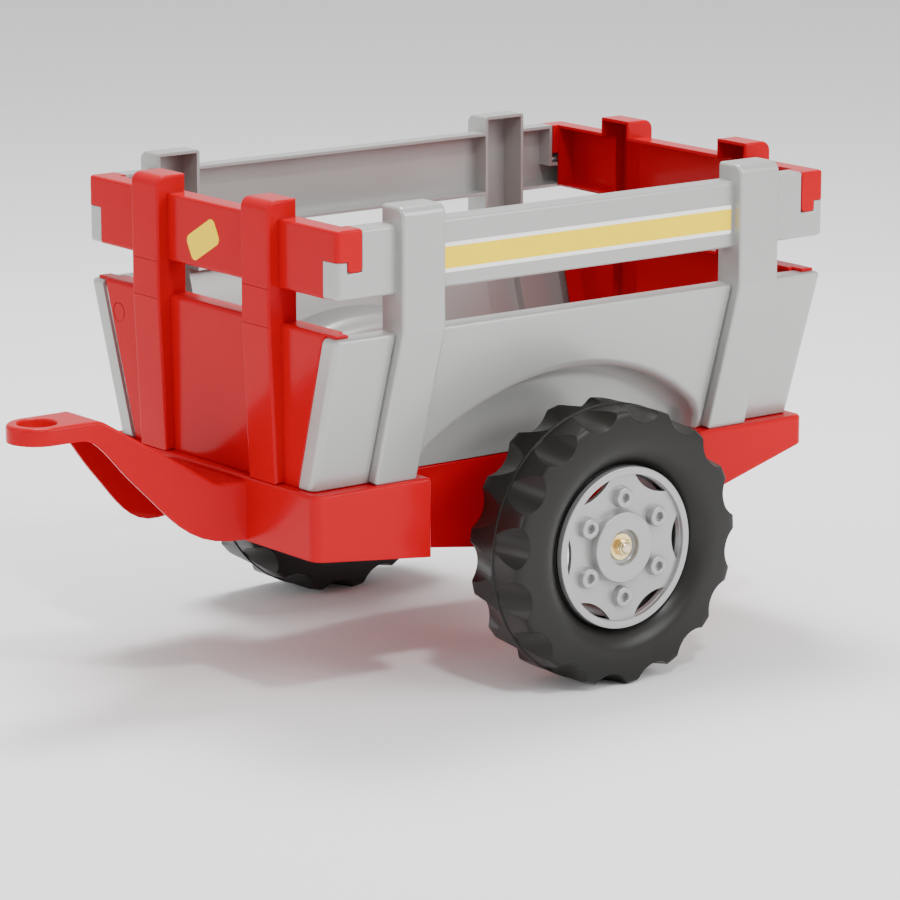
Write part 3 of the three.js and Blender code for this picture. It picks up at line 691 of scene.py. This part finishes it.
round_edges(rail, 3.5, lambda a, b: abs(a.z - b.z) < 1 and out_from(a, b), steps=5)
rail_hollow = box(
    WALL - TUB_HALF_LENGTH, TUB_HALF_LENGTH - WALL, BACK - 5, TUB_HALF_WIDTH - WALL,
    RAIL_FOOT + WALL, RAIL_TOP - WALL,
)
hook_walls = []
hook_rooms = []
for end in (-1, 1):
    start = end * (TUB_HALF_LENGTH - HOOK_REACH - GAP)
    past = end * (TUB_HALF_LENGTH + 10)
    tab = end * (TUB_HALF_LENGTH - HOOK_REACH + TAB_WIDTH + GAP)
    floor_z = RAIL_TOP - HOOK_HEIGHT - GAP
    sides = (BACK - 10, TUB_HALF_WIDTH + 10)
    hook_rooms.append(box(start, past, *sides, floor_z, RAIL_TOP + 10))
    hook_rooms.append(box(start, tab, *sides, floor_z - TAB_DROP, RAIL_TOP + 10))
    hook_walls.append(box(
        start - end * WALL, past, sides[0] - WALL, sides[1] + WALL, floor_z - TAB_DROP - WALL,
        RAIL_TOP + 13,
    ))
cut(rail_hollow, *hook_walls)
cut(rail, rail_hollow, *hook_rooms)
round_edges(
    rail, 1.6,
    lambda a, b: abs((a.x + b.x) / 2) > TUB_HALF_LENGTH - HOOK_REACH - 1 and
    RAIL_TOP - HOOK_HEIGHT - TAB_DROP - 1 < (a.z + b.z) / 2 < RAIL_TOP - 1 and
    min(a.y, b.y) > TUB_HALF_WIDTH - 0.5,
    steps=3,
)
panel = board
post_hollows = []
for x in (-SIDE_POST_X, SIDE_POST_X):
    half = POST_WIDTH / 2
    post = prism(post_profile(TUB_HALF_WIDTH, SIDE_LEAN, POST_PROUD, POST_PROUD, 0), "X",
                 x - half, x + half)
    round_edges(post, 3, lambda a, b: abs(a.x - b.x) < 1 and out_from(a, b))
    join(panel, post)
    profile = post_profile(TUB_HALF_WIDTH, SIDE_LEAN, POST_PROUD, POST_PROUD, WALL)
    cut(rail, prism(profile, "X", x - half + WALL, x + half - WALL))
    post_hollows.append(prism(profile, "X", x - half + WALL, x + half - WALL))
cut(panel, board_hollow, *post_hollows)
join(panel, rail)
inside_boards = block(side_level(BOARD_FOOT, 0, 60), side_level(BOARD_TOP, 0, 60))
join(panel, common(arch_solid(WALL), inside_boards))
cut(panel, arch_solid(0, rim=7.5))
for x in (-SIDE_POST_X, SIDE_POST_X):
    tongue = box(
        x - TONGUE[0] / 2, x + TONGUE[0] / 2, SIDE_TONGUE_Y - TONGUE[1] / 2,
        SIDE_TONGUE_Y + TONGUE[1] / 2, BOARD_FOOT - TONGUE[2], BOARD_FOOT + WALL,
    )
    join(panel, tongue)

silver_plastic = moulded_plastic("silver_plastic", (0.4, 0.402, 0.392, 1), 0.03, 0.36, 0.06, 0.3, 0.8)
silver_shader = silver_plastic.node_tree.nodes["Principled BSDF"]
silver_shader.inputs["Metallic"].default_value = 0.35
silver_shader.inputs["Coat Weight"].default_value = 0.3
silver_shader.inputs["Coat Roughness"].default_value = 0.14
other_panel = mirrored(panel, "Y")
publish(panel, "left_side_panel", "trailer", "side_panel_left", silver_plastic)
publish(other_panel, "right_side_panel", "trailer", "side_panel_right", silver_plastic)

# ---------------------------------------------------------------- front and tail boards
# Two like red mouldings that stand between the side panels and lift out upwards. Their rails end in
# hooks that drop into the side rails' notches, and lips lie over the side boards' corners.
END_POST_WIDTH = 42.0
END_POST_PROUD = 10.5
END_FOOT_PROUD = 7.0
CAP_LIP = 3.0
LIP_REACH = 12.0
FACE_X = TUB_HALF_LENGTH - END_RECESS
INNER_X = TUB_HALF_LENGTH - DEPTH
CORNER = DEPTH + GAP


def end_level(z, inset, behind):
    """The end board's rectangle at a height."""
    face = FACE_X - lean(END_LEAN, z)
    half = TUB_HALF_WIDTH - CORNER - lean(SIDE_LEAN, z) - inset
    return (face - DEPTH - behind, face - inset, -half, half, z)


def ahead_of(a, b, margin=1.0):
    """True where an edge lies outside the end board's open back."""
    middle = (a + b) / 2
    return middle.x > INNER_X - END_RECESS - lean(END_LEAN, middle.z) + margin


board = block(end_level(BOARD_FOOT, 0, 0), end_level(BOARD_TOP + CAP_LIP, 0, 0))
round_edges(board, 4.2, lambda a, b: abs(a.z - b.z) > 50 and ahead_of(a, b, DEPTH - 1))
round_edges(board, 4, lambda a, b: min(a.z, b.z) > BOARD_TOP + CAP_LIP - 0.1 and ahead_of(a, b), steps=5)
board_hollow = block(
    end_level(BOARD_FOOT + WALL, WALL, 5), end_level(BOARD_TOP + CAP_LIP - WALL, WALL, 5)
)
top_rim = end_level(BOARD_TOP, 0, 0)
lip = box(
    top_rim[0] + 4, top_rim[1] - 3, top_rim[2] - LIP_REACH, top_rim[3] + LIP_REACH,
    BOARD_TOP + GAP, BOARD_TOP + CAP_LIP,
)
round_edges(lip, 1.2, lambda a, b: min(a.z, b.z) > BOARD_TOP + CAP_LIP - 0.1, steps=3)
rail_half = TUB_HALF_WIDTH - CORNER
rail = box(INNER_X, TUB_HALF_LENGTH, -rail_half, rail_half, RAIL_FOOT, RAIL_TOP)
for side in (-1, 1):
    hook_x = TUB_HALF_LENGTH - HOOK_REACH
    join(rail, box(
        hook_x, TUB_HALF_LENGTH, side * (rail_half - 1), side * TUB_HALF_WIDTH,
        RAIL_TOP - HOOK_HEIGHT, RAIL_TOP,
    ))
    join(rail, box(
        hook_x, hook_x + TAB_WIDTH, side * (TUB_HALF_WIDTH - WALL), side * TUB_HALF_WIDTH,
        RAIL_TOP - HOOK_HEIGHT - TAB_DROP, RAIL_TOP - HOOK_HEIGHT + 1,
    ))
round_edges(
    rail, 5,
    lambda a, b: abs(a.z - b.z) > 20 and min(a.x, b.x) > TUB_HALF_LENGTH - 1 and
    min(abs(a.y), abs(b.y)) > TUB_HALF_WIDTH - 1,
    steps=5,
)
round_edges(
    rail, 2.6,
    lambda a, b: min(a.z, b.z) > RAIL_TOP - 0.1 and
    (min(a.x, b.x) > INNER_X + 1 or min(abs(a.y), abs(b.y)) > rail_half + 5),
)
round_edges(
    rail, 3, lambda a, b: max(a.z, b.z) < RAIL_FOOT + 0.1 and min(a.x, b.x) > TUB_HALF_LENGTH - 1,
)
TAB_FOOT = RAIL_TOP - HOOK_HEIGHT - TAB_DROP
round_edges(
    rail, 3.5,
    lambda a, b: max(a.z, b.z) < TAB_FOOT + 0.1 and abs(a.x - b.x) < 0.1,
)
round_edges(
    rail, 3, lambda a, b: abs((a.z + b.z) / 2 - (RAIL_TOP - HOOK_HEIGHT)) < 0.1 and abs(a.x - b.x) < 0.1 and
    min(a.x, b.x) > TUB_HALF_LENGTH - 1 and min(abs(a.y), abs(b.y)) > rail_half + 1,
)
hollows = [box(
    INNER_X - 5, TUB_HALF_LENGTH - WALL, WALL - rail_half, rail_half - WALL,
    RAIL_FOOT + WALL, RAIL_TOP - WALL,
)]
for side in (-1, 1):
    hollows.append(box(
        hook_x + WALL, TUB_HALF_LENGTH - WALL, side * rail_half, side * (TUB_HALF_WIDTH - WALL),
        RAIL_TOP - HOOK_HEIGHT - 5, RAIL_TOP - WALL,
    ))
gate = join(board, lip, rail)
for y in (-END_POST_Y, END_POST_Y):
    half = END_POST_WIDTH / 2
    post = prism(post_profile(TUB_HALF_LENGTH, END_LEAN, END_FOOT_PROUD, END_POST_PROUD, 0), "Y",
                 y - half, y + half)
    round_edges(post, 2.6, lambda a, b: abs(a.y - b.y) < 1 and ahead_of(a, b))
    for line_z in (RAIL_FOOT, BOARD_TOP):
        front = TUB_HALF_LENGTH + END_POST_PROUD
        cut(post, box(front - 0.45, front + 2, y - half - 1, y + half + 1, line_z - 0.35, line_z + 0.35))
    join(gate, post)
    profile = post_profile(TUB_HALF_LENGTH, END_LEAN, END_FOOT_PROUD, END_POST_PROUD, WALL)
    hollows.append(prism(profile, "Y", y - half + WALL, y + half - WALL))
cut(gate, board_hollow, *hollows)
for y in (-END_POST_Y, END_POST_Y):
    join(gate, box(
        END_TONGUE_X - TONGUE[1] / 2, END_TONGUE_X + TONGUE[1] / 2, y - TONGUE[0] / 2,
        y + TONGUE[0] / 2, BOARD_FOOT - TONGUE[2], BOARD_FOOT + WALL,
    ))
mark_y = 24 - TUB_HALF_WIDTH + CORNER
mark_z = BOARD_TOP - 26
MARK_RADIUS = 9.2
MARK_LINE = 1.0
mark_face = FACE_X - lean(END_LEAN, mark_z)


def mark_ring(radius, sides=48):
    """A circle about the moulding mark's middle, on the board's outer face."""
    return [(mark_y + radius * math.cos(t), mark_z + radius * math.sin(t))
            for t in (2 * math.pi * i / sides for i in range(sides))]


mark = cut(
    prism(mark_ring(MARK_RADIUS), "X", mark_face - 0.5, mark_face + 3),
    prism(mark_ring(MARK_RADIUS - MARK_LINE), "X", mark_face - 3, mark_face + 5),
)
cut(gate, mark)
other_gate = turned_about(gate, math.pi, "Z")
publish(gate, "front_gate_board", "front_gate", "front_board", red_plastic)
publish(other_gate, "tail_gate_board", "tail_gate", "tail_board", red_plastic)

# ---------------------------------------------------------------- tyres
# Blow-moulded black rings with bulging sides, a parting-line ridge round the middle of the tread
# and a row of half-pipe pockets on each shoulder, staggered by half a pitch from side to side.
POCKETS = 16
POCKET_RADIUS = 25.0
POCKET_PHASE = math.radians(-8)
RIDGE_HALF = 1.4
tyre_middle = (tyre_high.y + tyre_low.y) / 2
rim_low, rim_high = reach("rim_left")
RIM_RADIUS = (rim_high.z - rim_low.z) / 2


def through(points, steps):
    """A smooth line through points, by Catmull-Rom spans."""
    line = []
    ends = [points[0]] + list(points) + [points[-1]]
    for a, b, c, d in zip(ends, ends[1:], ends[2:], ends[3:]):
        a, b, c, d = (Vector(p) for p in (a, b, c, d))
        for step in range(steps):
            t = step / steps
            line.append(tuple(
                0.5 * (2 * b + (c - a) * t + (2 * a - 5 * b + 4 * c - d) * t**2
                       + (3 * b - a - 3 * c + d) * t**3)
            ))
    return line + [tuple(points[-1])]


def turned(profile, sides=96, hollow=False):
    """A solid of revolution about Y over (radius, y) points; a hollow one's profile is closed."""
    rings = [
        [(r * math.cos(t), y, r * math.sin(t)) for t in (2 * math.pi * i / sides for i in range(sides))]
        for r, y in profile
    ]
    return loft(rings, loop=hollow)


# half section from the tread's middle to the bead, as radius and distance from the middle plane
half_section = through([
    (TYRE_RADIUS - 0.9, RIDGE_HALF), (TYRE_RADIUS - 0.6, 12), (TYRE_RADIUS - 0.5, 24),
    (TYRE_RADIUS - 0.8, 31), (TYRE_RADIUS - 2.0, 34.2), (TYRE_RADIUS - 5, 35.6),
    (TYRE_RADIUS - 10, 36.4), (TYRE_RADIUS - 18, 37.1), (TYRE_RADIUS - 27, 37.45),
    (TYRE_RADIUS - 34, 36.6), (TYRE_RADIUS - 40, 34), (TYRE_RADIUS - 45, 30), (TYRE_RADIUS - 49, 25.6),
], 3)
outer = [(r, tyre_middle + y) for r, y in half_section]
bead = [
    (RIM_RADIUS + GAP, tyre_middle + 23), (RIM_RADIUS + GAP, tyre_high.y - 13.3),
    (RIM_RADIUS - 5.7, tyre_high.y - 13.3), (RIM_RADIUS - 5.7, tyre_low.y + 8),
]
inner_side = [(r, tyre_middle - y) for r, y in half_section if r > RIM_RADIUS + 14]
inner_side.append((RIM_RADIUS + 4, tyre_low.y + 5))
ridge = [
    (TYRE_RADIUS - 1.2, tyre_middle - RIDGE_HALF), (TYRE_RADIUS, tyre_middle - 0.9),
    (TYRE_RADIUS, tyre_middle + 0.9),
]
profile = outer + bead + inner_side[::-1] + ridge
tyre = turned(profile, sides=192, hollow=True)
# each pocket's floor line runs from beside the ridge down to the side wall
floor_start = Vector((tyre_middle + 2.2, TYRE_RADIUS - 1.8))
floor_end = Vector((tyre_middle + 37.0, TYRE_RADIUS - 12.5))
along = (floor_end - floor_start).normalized()
out = Vector((-along.y, along.x))
for side in (1, -1):
    for index in range(POCKETS):
        angle = POCKET_PHASE + 2 * math.pi * (index + (0.5 if side < 0 else 0)) / POCKETS
        rings = []
        for distance in (0, 90):
            centre = floor_start + out * POCKET_RADIUS + along * distance
            ring = []
            for i in range(40):
                turn = 2 * math.pi * i / 40
                y = centre.x + out.x * POCKET_RADIUS * math.cos(turn)
                r = centre.y + out.y * POCKET_RADIUS * math.cos(turn)
                ring.append((r, tyre_middle + side * (y - tyre_middle), POCKET_RADIUS * math.sin(turn)))
            rings.append(ring)
        pocket = loft(rings)
        pocket.data.transform(Matrix.Rotation(angle, 4, "Y"))
        cut(tyre, pocket)

tyre_black = moulded_plastic("tyre_black", (0.0085, 0.0078, 0.0068, 1), 0.2, 0.36, 0.08, 0.35, 1.2)
tyre_black.node_tree.nodes["Principled BSDF"].inputs["Specular IOR Level"].default_value = 0.3


def publish_wheel_pieces(solid, piece, kind, material, fixed=False, crease=32):
    """Sets a left wheel's piece, drawn about the axle line, and its twin on the right wheel."""
    solid.data.transform(Matrix.Translation((0, 0, AXLE_Z)))
    twin = turned_about(solid, math.pi, "Z")
    for one, side in ((solid, "left"), (twin, "right")):
        body = "trailer" if fixed else f"{side}_wheel"
        publish(one, f"{side}_{piece}", body, f"{kind}_{side}", material, crease)


publish_wheel_pieces(tyre, "lugged_tyre", "tyre", tyre_black)

# ---------------------------------------------------------------- rims
# Silver rims pressed into the tyres: an outer ring, a dished plate with six lens-shaped windows,
# six capped bosses, a raised hub disc with a cup for the nut, and a barrel behind.
RING_WIDTH = 7.0
BOSSES = 6
BOSS_CIRCLE = 45.0
BOSS_RADIUS = 9.2
HUB_DISC = 32.0
HUB_CUP = 16.0
HUB_TUBE = 14.0
HUB_BORE = 8.3
PLATE = 4.0
WINDOW_RADIUS = 40.0
face = rim_high.y
plate_edge = face - 4.5
plate_hub = face - 9.5
cup_floor = face - 8.0
barrel = RIM_RADIUS - 6
inner_end = rim_low.y
ring_inner = RIM_RADIUS - RING_WIDTH
rim = turned([
    (RIM_RADIUS, face - 6), (RIM_RADIUS, face - 1.2), (RIM_RADIUS - 0.4, face - 0.4),
    (RIM_RADIUS - 1.2, face), (ring_inner + 1, face), (ring_inner + 0.2, face - 0.3),
    (ring_inner, face - 1), (ring_inner, plate_edge), (HUB_DISC - 1, plate_hub),
    (HUB_TUBE - 2, plate_hub), (HUB_TUBE - 2, plate_hub - PLATE), (HUB_DISC, plate_hub - PLATE),
    (barrel - WALL, plate_edge - PLATE), (barrel - WALL, inner_end), (barrel, inner_end),
    (barrel, face - 6),
], sides=128, hollow=True)
for index in range(BOSSES):
    angle = 2 * math.pi * index / BOSSES
    centre_r = ring_inner - 9 + WINDOW_RADIUS
    window = pin(WINDOW_RADIUS, plate_hub - 20, face + 20,
                 x=centre_r * math.cos(angle), z=centre_r * math.sin(angle), sides=96)
    inside = pin(ring_inner - 0.4, face - 14, face + 20, sides=128)
    cut(rim, common(window, inside))
hub = turned([
    (HUB_TUBE, inner_end), (HUB_TUBE, plate_hub - 2), (HUB_DISC, plate_hub - 2), (HUB_DISC, face - 3.2),
    (HUB_DISC - 0.5, face - 2.1), (HUB_DISC - 1.6, face - 1.5), (HUB_CUP + 1.2, face - 1.5),
    (HUB_CUP + 0.3, face - 1.8), (HUB_CUP, face - 2.6), (HUB_CUP, cup_floor + 0.8),
    (HUB_CUP - 0.8, cup_floor), (HUB_BORE, cup_floor), (HUB_BORE, inner_end),
], sides=96, hollow=True)
join(rim, hub)
for index in range(BOSSES):
    angle = 2 * math.pi * (index + 0.5) / BOSSES
    boss = turned([
        (BOSS_RADIUS + 0.4, plate_hub - 1), (BOSS_RADIUS, face - 2.2), (BOSS_RADIUS - 0.5, face - 1.1),
        (BOSS_RADIUS - 1.6, face - 0.5), (4.6, face - 0.5),
        (4.2, face - 0.9), (3.8, face - 5), (3.8, face - 5.5), (0.5, face - 5.6),
    ], sides=48)
    boss.data.transform(Matrix.Translation((
        BOSS_CIRCLE * math.cos(angle), 0, BOSS_CIRCLE * math.sin(angle),
    )))
    join(rim, boss)
SILVER_PAINT = (0.36, 0.362, 0.358, 1)
rim_silver = moulded_plastic("rim_silver", SILVER_PAINT, 0.03, 0.3, 0.05, 0.25, 0.5)
rim_shader = rim_silver.node_tree.nodes["Principled BSDF"]
rim_shader.inputs["Metallic"].default_value = 0.45
rim_shader.inputs["Coat Weight"].default_value = 0.2
rim_shader.inputs["Coat Roughness"].default_value = 0.2
# the barrel behind the plate is painted near-black inside: painted shade for the dark hollow seen through
# the windows
rim_nodes, rim_links = rim_silver.node_tree.nodes, rim_silver.node_tree.links
rim_place = rim_nodes.new("ShaderNodeTexCoord")
rim_parts = rim_nodes.new("ShaderNodeSeparateXYZ")
rim_depth = rim_nodes.new("ShaderNodeMath")
rim_depth.operation = "ABSOLUTE"
# fades from painted shade to silver paint across the plate's back
rim_shade_fade = rim_nodes.new("ShaderNodeMapRange")
rim_shade_fade.inputs["From Min"].default_value = (face - 10.2) * MM
rim_shade_fade.inputs["From Max"].default_value = (face - 9.6) * MM
rim_shade_mix = rim_nodes.new("ShaderNodeMix")
rim_shade_mix.data_type = "RGBA"
# near-black painted shade deeper than the plate's back, silver paint elsewhere
rim_shade_mix.inputs[6].default_value = (0.012, 0.012, 0.012, 1)
rim_shade_mix.inputs[7].default_value = SILVER_PAINT
rim_links.new(rim_place.outputs["Object"], rim_parts.inputs["Vector"])
rim_links.new(rim_parts.outputs["Y"], rim_depth.inputs[0])
rim_links.new(rim_depth.outputs[0], rim_shade_fade.inputs["Value"])
rim_links.new(rim_shade_fade.outputs["Result"], rim_shade_mix.inputs[0])
rim_surface = next(node for node in rim_nodes if node.type == "GROUP")
rim_links.new(rim_shade_mix.outputs[2], rim_surface.inputs["Color"])
publish_wheel_pieces(rim, "six_window_rim", "rim", rim_silver)

# ---------------------------------------------------------------- axle and its hardware
# A drawn steel rod through both skirts; outside each wheel a brass-coloured flanged washer and lock
# nut hold it, black nylon bushes carry the rims, and nylon spacers keep the wheels off the tray.
ROD_RADIUS = 5.0
rod_end = reach("axle_rod")[1].y
rod = turned([
    (1.2, -rod_end), (ROD_RADIUS - 1, 0.4 - rod_end), (ROD_RADIUS - 0.2, 1.2 - rod_end),
    (ROD_RADIUS, 2.2 - rod_end), (ROD_RADIUS, rod_end - 2.2), (ROD_RADIUS - 0.2, rod_end - 1.2),
    (ROD_RADIUS - 1, rod_end - 0.4), (1.2, rod_end),
], sides=48)
rod.data.transform(Matrix.Translation((0, 0, AXLE_Z)))


def plated_metal(name, color, roughness, streaks):
    """Bare or plated steel with drawing streaks along the axle and slight staining."""
    material = bpy.data.materials.new(name)
    material.use_nodes = True
    nodes, links = material.node_tree.nodes, material.node_tree.links
    shader = nodes["Principled BSDF"]
    shader.inputs["Metallic"].default_value = 1.0
    surface = nodes.new("ShaderNodeGroup")
    surface.node_tree = moulded_surface
    surface.inputs["Color"].default_value = color
    surface.inputs["Mottle"].default_value = 0.25
    surface.inputs["Roughness"].default_value = roughness
    surface.inputs["Rough Spread"].default_value = 0.12
    place = nodes.new("ShaderNodeTexCoord")
    stretch = nodes.new("ShaderNodeMapping")
    stretch.inputs["Scale"].default_value = (1500, 60, 1500)
    lines = nodes.new("ShaderNodeTexNoise")
    lines.inputs["Scale"].default_value = 1.0
    relief = nodes.new("ShaderNodeBump")
    relief.inputs["Strength"].default_value = streaks
    relief.inputs["Distance"].default_value = 0.1 * MM
    links.new(place.outputs["Object"], stretch.inputs["Vector"])
    links.new(stretch.outputs["Vector"], lines.inputs["Vector"])
    links.new(lines.outputs["Fac"], relief.inputs["Height"])
    links.new(surface.outputs["Color"], shader.inputs["Base Color"])
    links.new(surface.outputs["Roughness"], shader.inputs["Roughness"])
    links.new(relief.outputs["Normal"], shader.inputs["Normal"])
    return material


axle_steel = plated_metal("axle_steel", (0.72, 0.62, 0.43, 1), 0.28, 0.3)
publish(rod, "axle_rod_steel", "trailer", "axle_rod", axle_steel)

brass_plate = plated_metal("brass_plate", (0.8, 0.62, 0.32, 1), 0.24, 0.15)
washer_low, washer_high = reach("axle_washer_left")
washer_radius = (washer_high.z - washer_low.z) / 2
washer = turned([
    (ROD_RADIUS + GAP, washer_low.y), (washer_radius, washer_low.y),
    (washer_radius, washer_high.y - 0.6), (washer_radius - 0.6, washer_high.y - 0.1),
    (washer_radius - 3, washer_high.y), (ROD_RADIUS + GAP, washer_high.y),
], sides=64, hollow=True)
publish_wheel_pieces(washer, "flanged_washer", "axle_washer", brass_plate, fixed=True)

nut_low, nut_high = reach("lock_nut_left")
NUT_RADIUS = ROD_RADIUS + 3.1
nut = prism(
    [(NUT_RADIUS * math.cos(math.radians(60 * i)), NUT_RADIUS * math.sin(math.radians(60 * i)))
     for i in range(6)], "Y", nut_low.y, nut_high.y,
)
common(nut, turned([
    (NUT_RADIUS - 0.9, nut_low.y - 0.2), (NUT_RADIUS + 0.1, nut_low.y + 0.6),
    (NUT_RADIUS + 0.1, nut_high.y - 2.0), (NUT_RADIUS - 1.2, nut_high.y - 1.2),
    (NUT_RADIUS - 1.4, nut_high.y - 0.3), (NUT_RADIUS - 2.0, nut_high.y + 0.1),
], sides=64))
cut(nut, pin(ROD_RADIUS + GAP, nut_low.y - 5, nut_high.y + 5, sides=48))
publish_wheel_pieces(nut, "domed_lock_nut", "lock_nut", brass_plate, fixed=True)

black_nylon = moulded_plastic("black_nylon", (0.03, 0.03, 0.03, 1), 0.2, 0.5, 0.1, 0.3, 0.4)
spacer_low, spacer_high = reach("axle_spacer_left")
spacer_radius = (spacer_high.z - spacer_low.z) / 2
spacer = turned([
    (ROD_RADIUS + GAP, spacer_low.y), (spacer_radius - 0.6, spacer_low.y),
    (spacer_radius, spacer_low.y + 0.6), (spacer_radius, spacer_high.y - 0.6),
    (spacer_radius - 0.6, spacer_high.y), (ROD_RADIUS + GAP, spacer_high.y),
], sides=48, hollow=True)
publish_wheel_pieces(spacer, "nylon_spacer", "axle_spacer", black_nylon, fixed=True)

bush_low, bush_high = reach("hub_bush_left")
bush_radius = (bush_high.z - bush_low.z) / 2
sleeve_radius = ROD_RADIUS + 3
bush = turned([
    (ROD_RADIUS + GAP, bush_low.y), (bush_radius - 0.4, bush_low.y), (bush_radius, bush_low.y + 0.4),
    (bush_radius, bush_low.y + 2), (sleeve_radius, bush_low.y + 2), (sleeve_radius, bush_high.y),
    (ROD_RADIUS + GAP, bush_high.y),
], sides=48, hollow=True)
publish_wheel_pieces(bush, "nylon_hub_bush", "hub_bush", black_nylon)

# ---------------------------------------------------------------- stick-on trim
# Plain vinyl stickers: a yellow stripe edged in white on each side rail, and a small yellow patch
# with rounded corners, set at a slant, on the front rail. They carry no lettering or mark.
stripe_low, stripe_high = reach("stripe_left")


def vinyl(name, middle, half_yellow):
    """Printed vinyl: a yellow field between white bands, with fine edges and a soft gloss."""
    material = bpy.data.materials.new(name)
    material.use_nodes = True
    nodes, links = material.node_tree.nodes, material.node_tree.links
    shader = nodes["Principled BSDF"]
    shader.inputs["Specular IOR Level"].default_value = 0.15
    place = nodes.new("ShaderNodeTexCoord")
    parts = nodes.new("ShaderNodeSeparateXYZ")
    offset = nodes.new("ShaderNodeMath")
    offset.operation = "SUBTRACT"
    offset.inputs[1].default_value = middle
    distance = nodes.new("ShaderNodeMath")
    distance.operation = "ABSOLUTE"
    white = nodes.new("ShaderNodeMath")
    white.operation = "GREATER_THAN"
    white.inputs[1].default_value = half_yellow
    paint = nodes.new("ShaderNodeMix")
    paint.data_type = "RGBA"
    paint.inputs[6].default_value = (0.95, 0.68, 0.0, 1)
    paint.inputs[7].default_value = (0.9, 0.9, 0.88, 1)
    surface = nodes.new("ShaderNodeGroup")
    surface.node_tree = moulded_surface
    surface.inputs["Mottle"].default_value = 0.05
    surface.inputs["Roughness"].default_value = 0.3
    surface.inputs["Rough Spread"].default_value = 0.08
    relief = nodes.new("ShaderNodeBump")
    relief.inputs["Strength"].default_value = 0.2
    relief.inputs["Distance"].default_value = 0.05 * MM
    links.new(place.outputs["Object"], parts.inputs["Vector"])
    links.new(parts.outputs["Z"], offset.inputs[0])
    links.new(offset.outputs[0], distance.inputs[0])
    links.new(distance.outputs[0], white.inputs[0])
    links.new(white.outputs[0], paint.inputs[0])
    links.new(paint.outputs[2], surface.inputs["Color"])
    links.new(surface.outputs["Color"], shader.inputs["Base Color"])
    links.new(surface.outputs["Roughness"], shader.inputs["Roughness"])
    links.new(surface.outputs["Height"], relief.inputs["Height"])
    links.new(relief.outputs["Normal"], shader.inputs["Normal"])
    return material


stripe_middle = (stripe_low.z + stripe_high.z) / 2
stripe_vinyl = vinyl("stripe_vinyl", stripe_middle * MM, 0.0095)
stripe_outline = rounded([
    (stripe_low.x, stripe_low.z + 0.5, 1.5), (stripe_high.x, stripe_low.z + 0.5, 1.5),
    (stripe_high.x, stripe_high.z - 0.5, 1.5), (stripe_low.x, stripe_high.z - 0.5, 1.5),
])
STICKER = 0.25
stripe = prism(stripe_outline, "Y", TUB_HALF_WIDTH + 0.02, TUB_HALF_WIDTH + STICKER)
other_stripe = mirrored(stripe, "Y")
publish(stripe, "left_rail_stripe", "trailer", "stripe_left", stripe_vinyl)
publish(other_stripe, "right_rail_stripe", "trailer", "stripe_right", stripe_vinyl)

badge_low, badge_high = reach("front_badge")
PATCH_HALF_WIDTH = 24.0
PATCH_HALF_HEIGHT = 12.0
PATCH_SLANT = math.radians(29)
badge_y = (badge_low.y + badge_high.y) / 2
badge_z = (badge_low.z + badge_high.z) / 2
badge_vinyl = vinyl("badge_vinyl", badge_z * MM, 0.1)
slant = Matrix.Rotation(PATCH_SLANT, 2)
patch = []
for y, z in rounded([
    (-PATCH_HALF_WIDTH, -PATCH_HALF_HEIGHT, 6), (PATCH_HALF_WIDTH, -PATCH_HALF_HEIGHT, 6),
    (PATCH_HALF_WIDTH, PATCH_HALF_HEIGHT, 6), (-PATCH_HALF_WIDTH, PATCH_HALF_HEIGHT, 6),
]):
    spot = slant @ Vector((y, z))
    patch.append((badge_y + spot.x, badge_z + spot.y))
badge = prism(patch, "X", TUB_HALF_LENGTH + 0.02, TUB_HALF_LENGTH + STICKER)
publish(badge, "front_rail_patch", "front_gate", "front_badge", badge_vinyl)
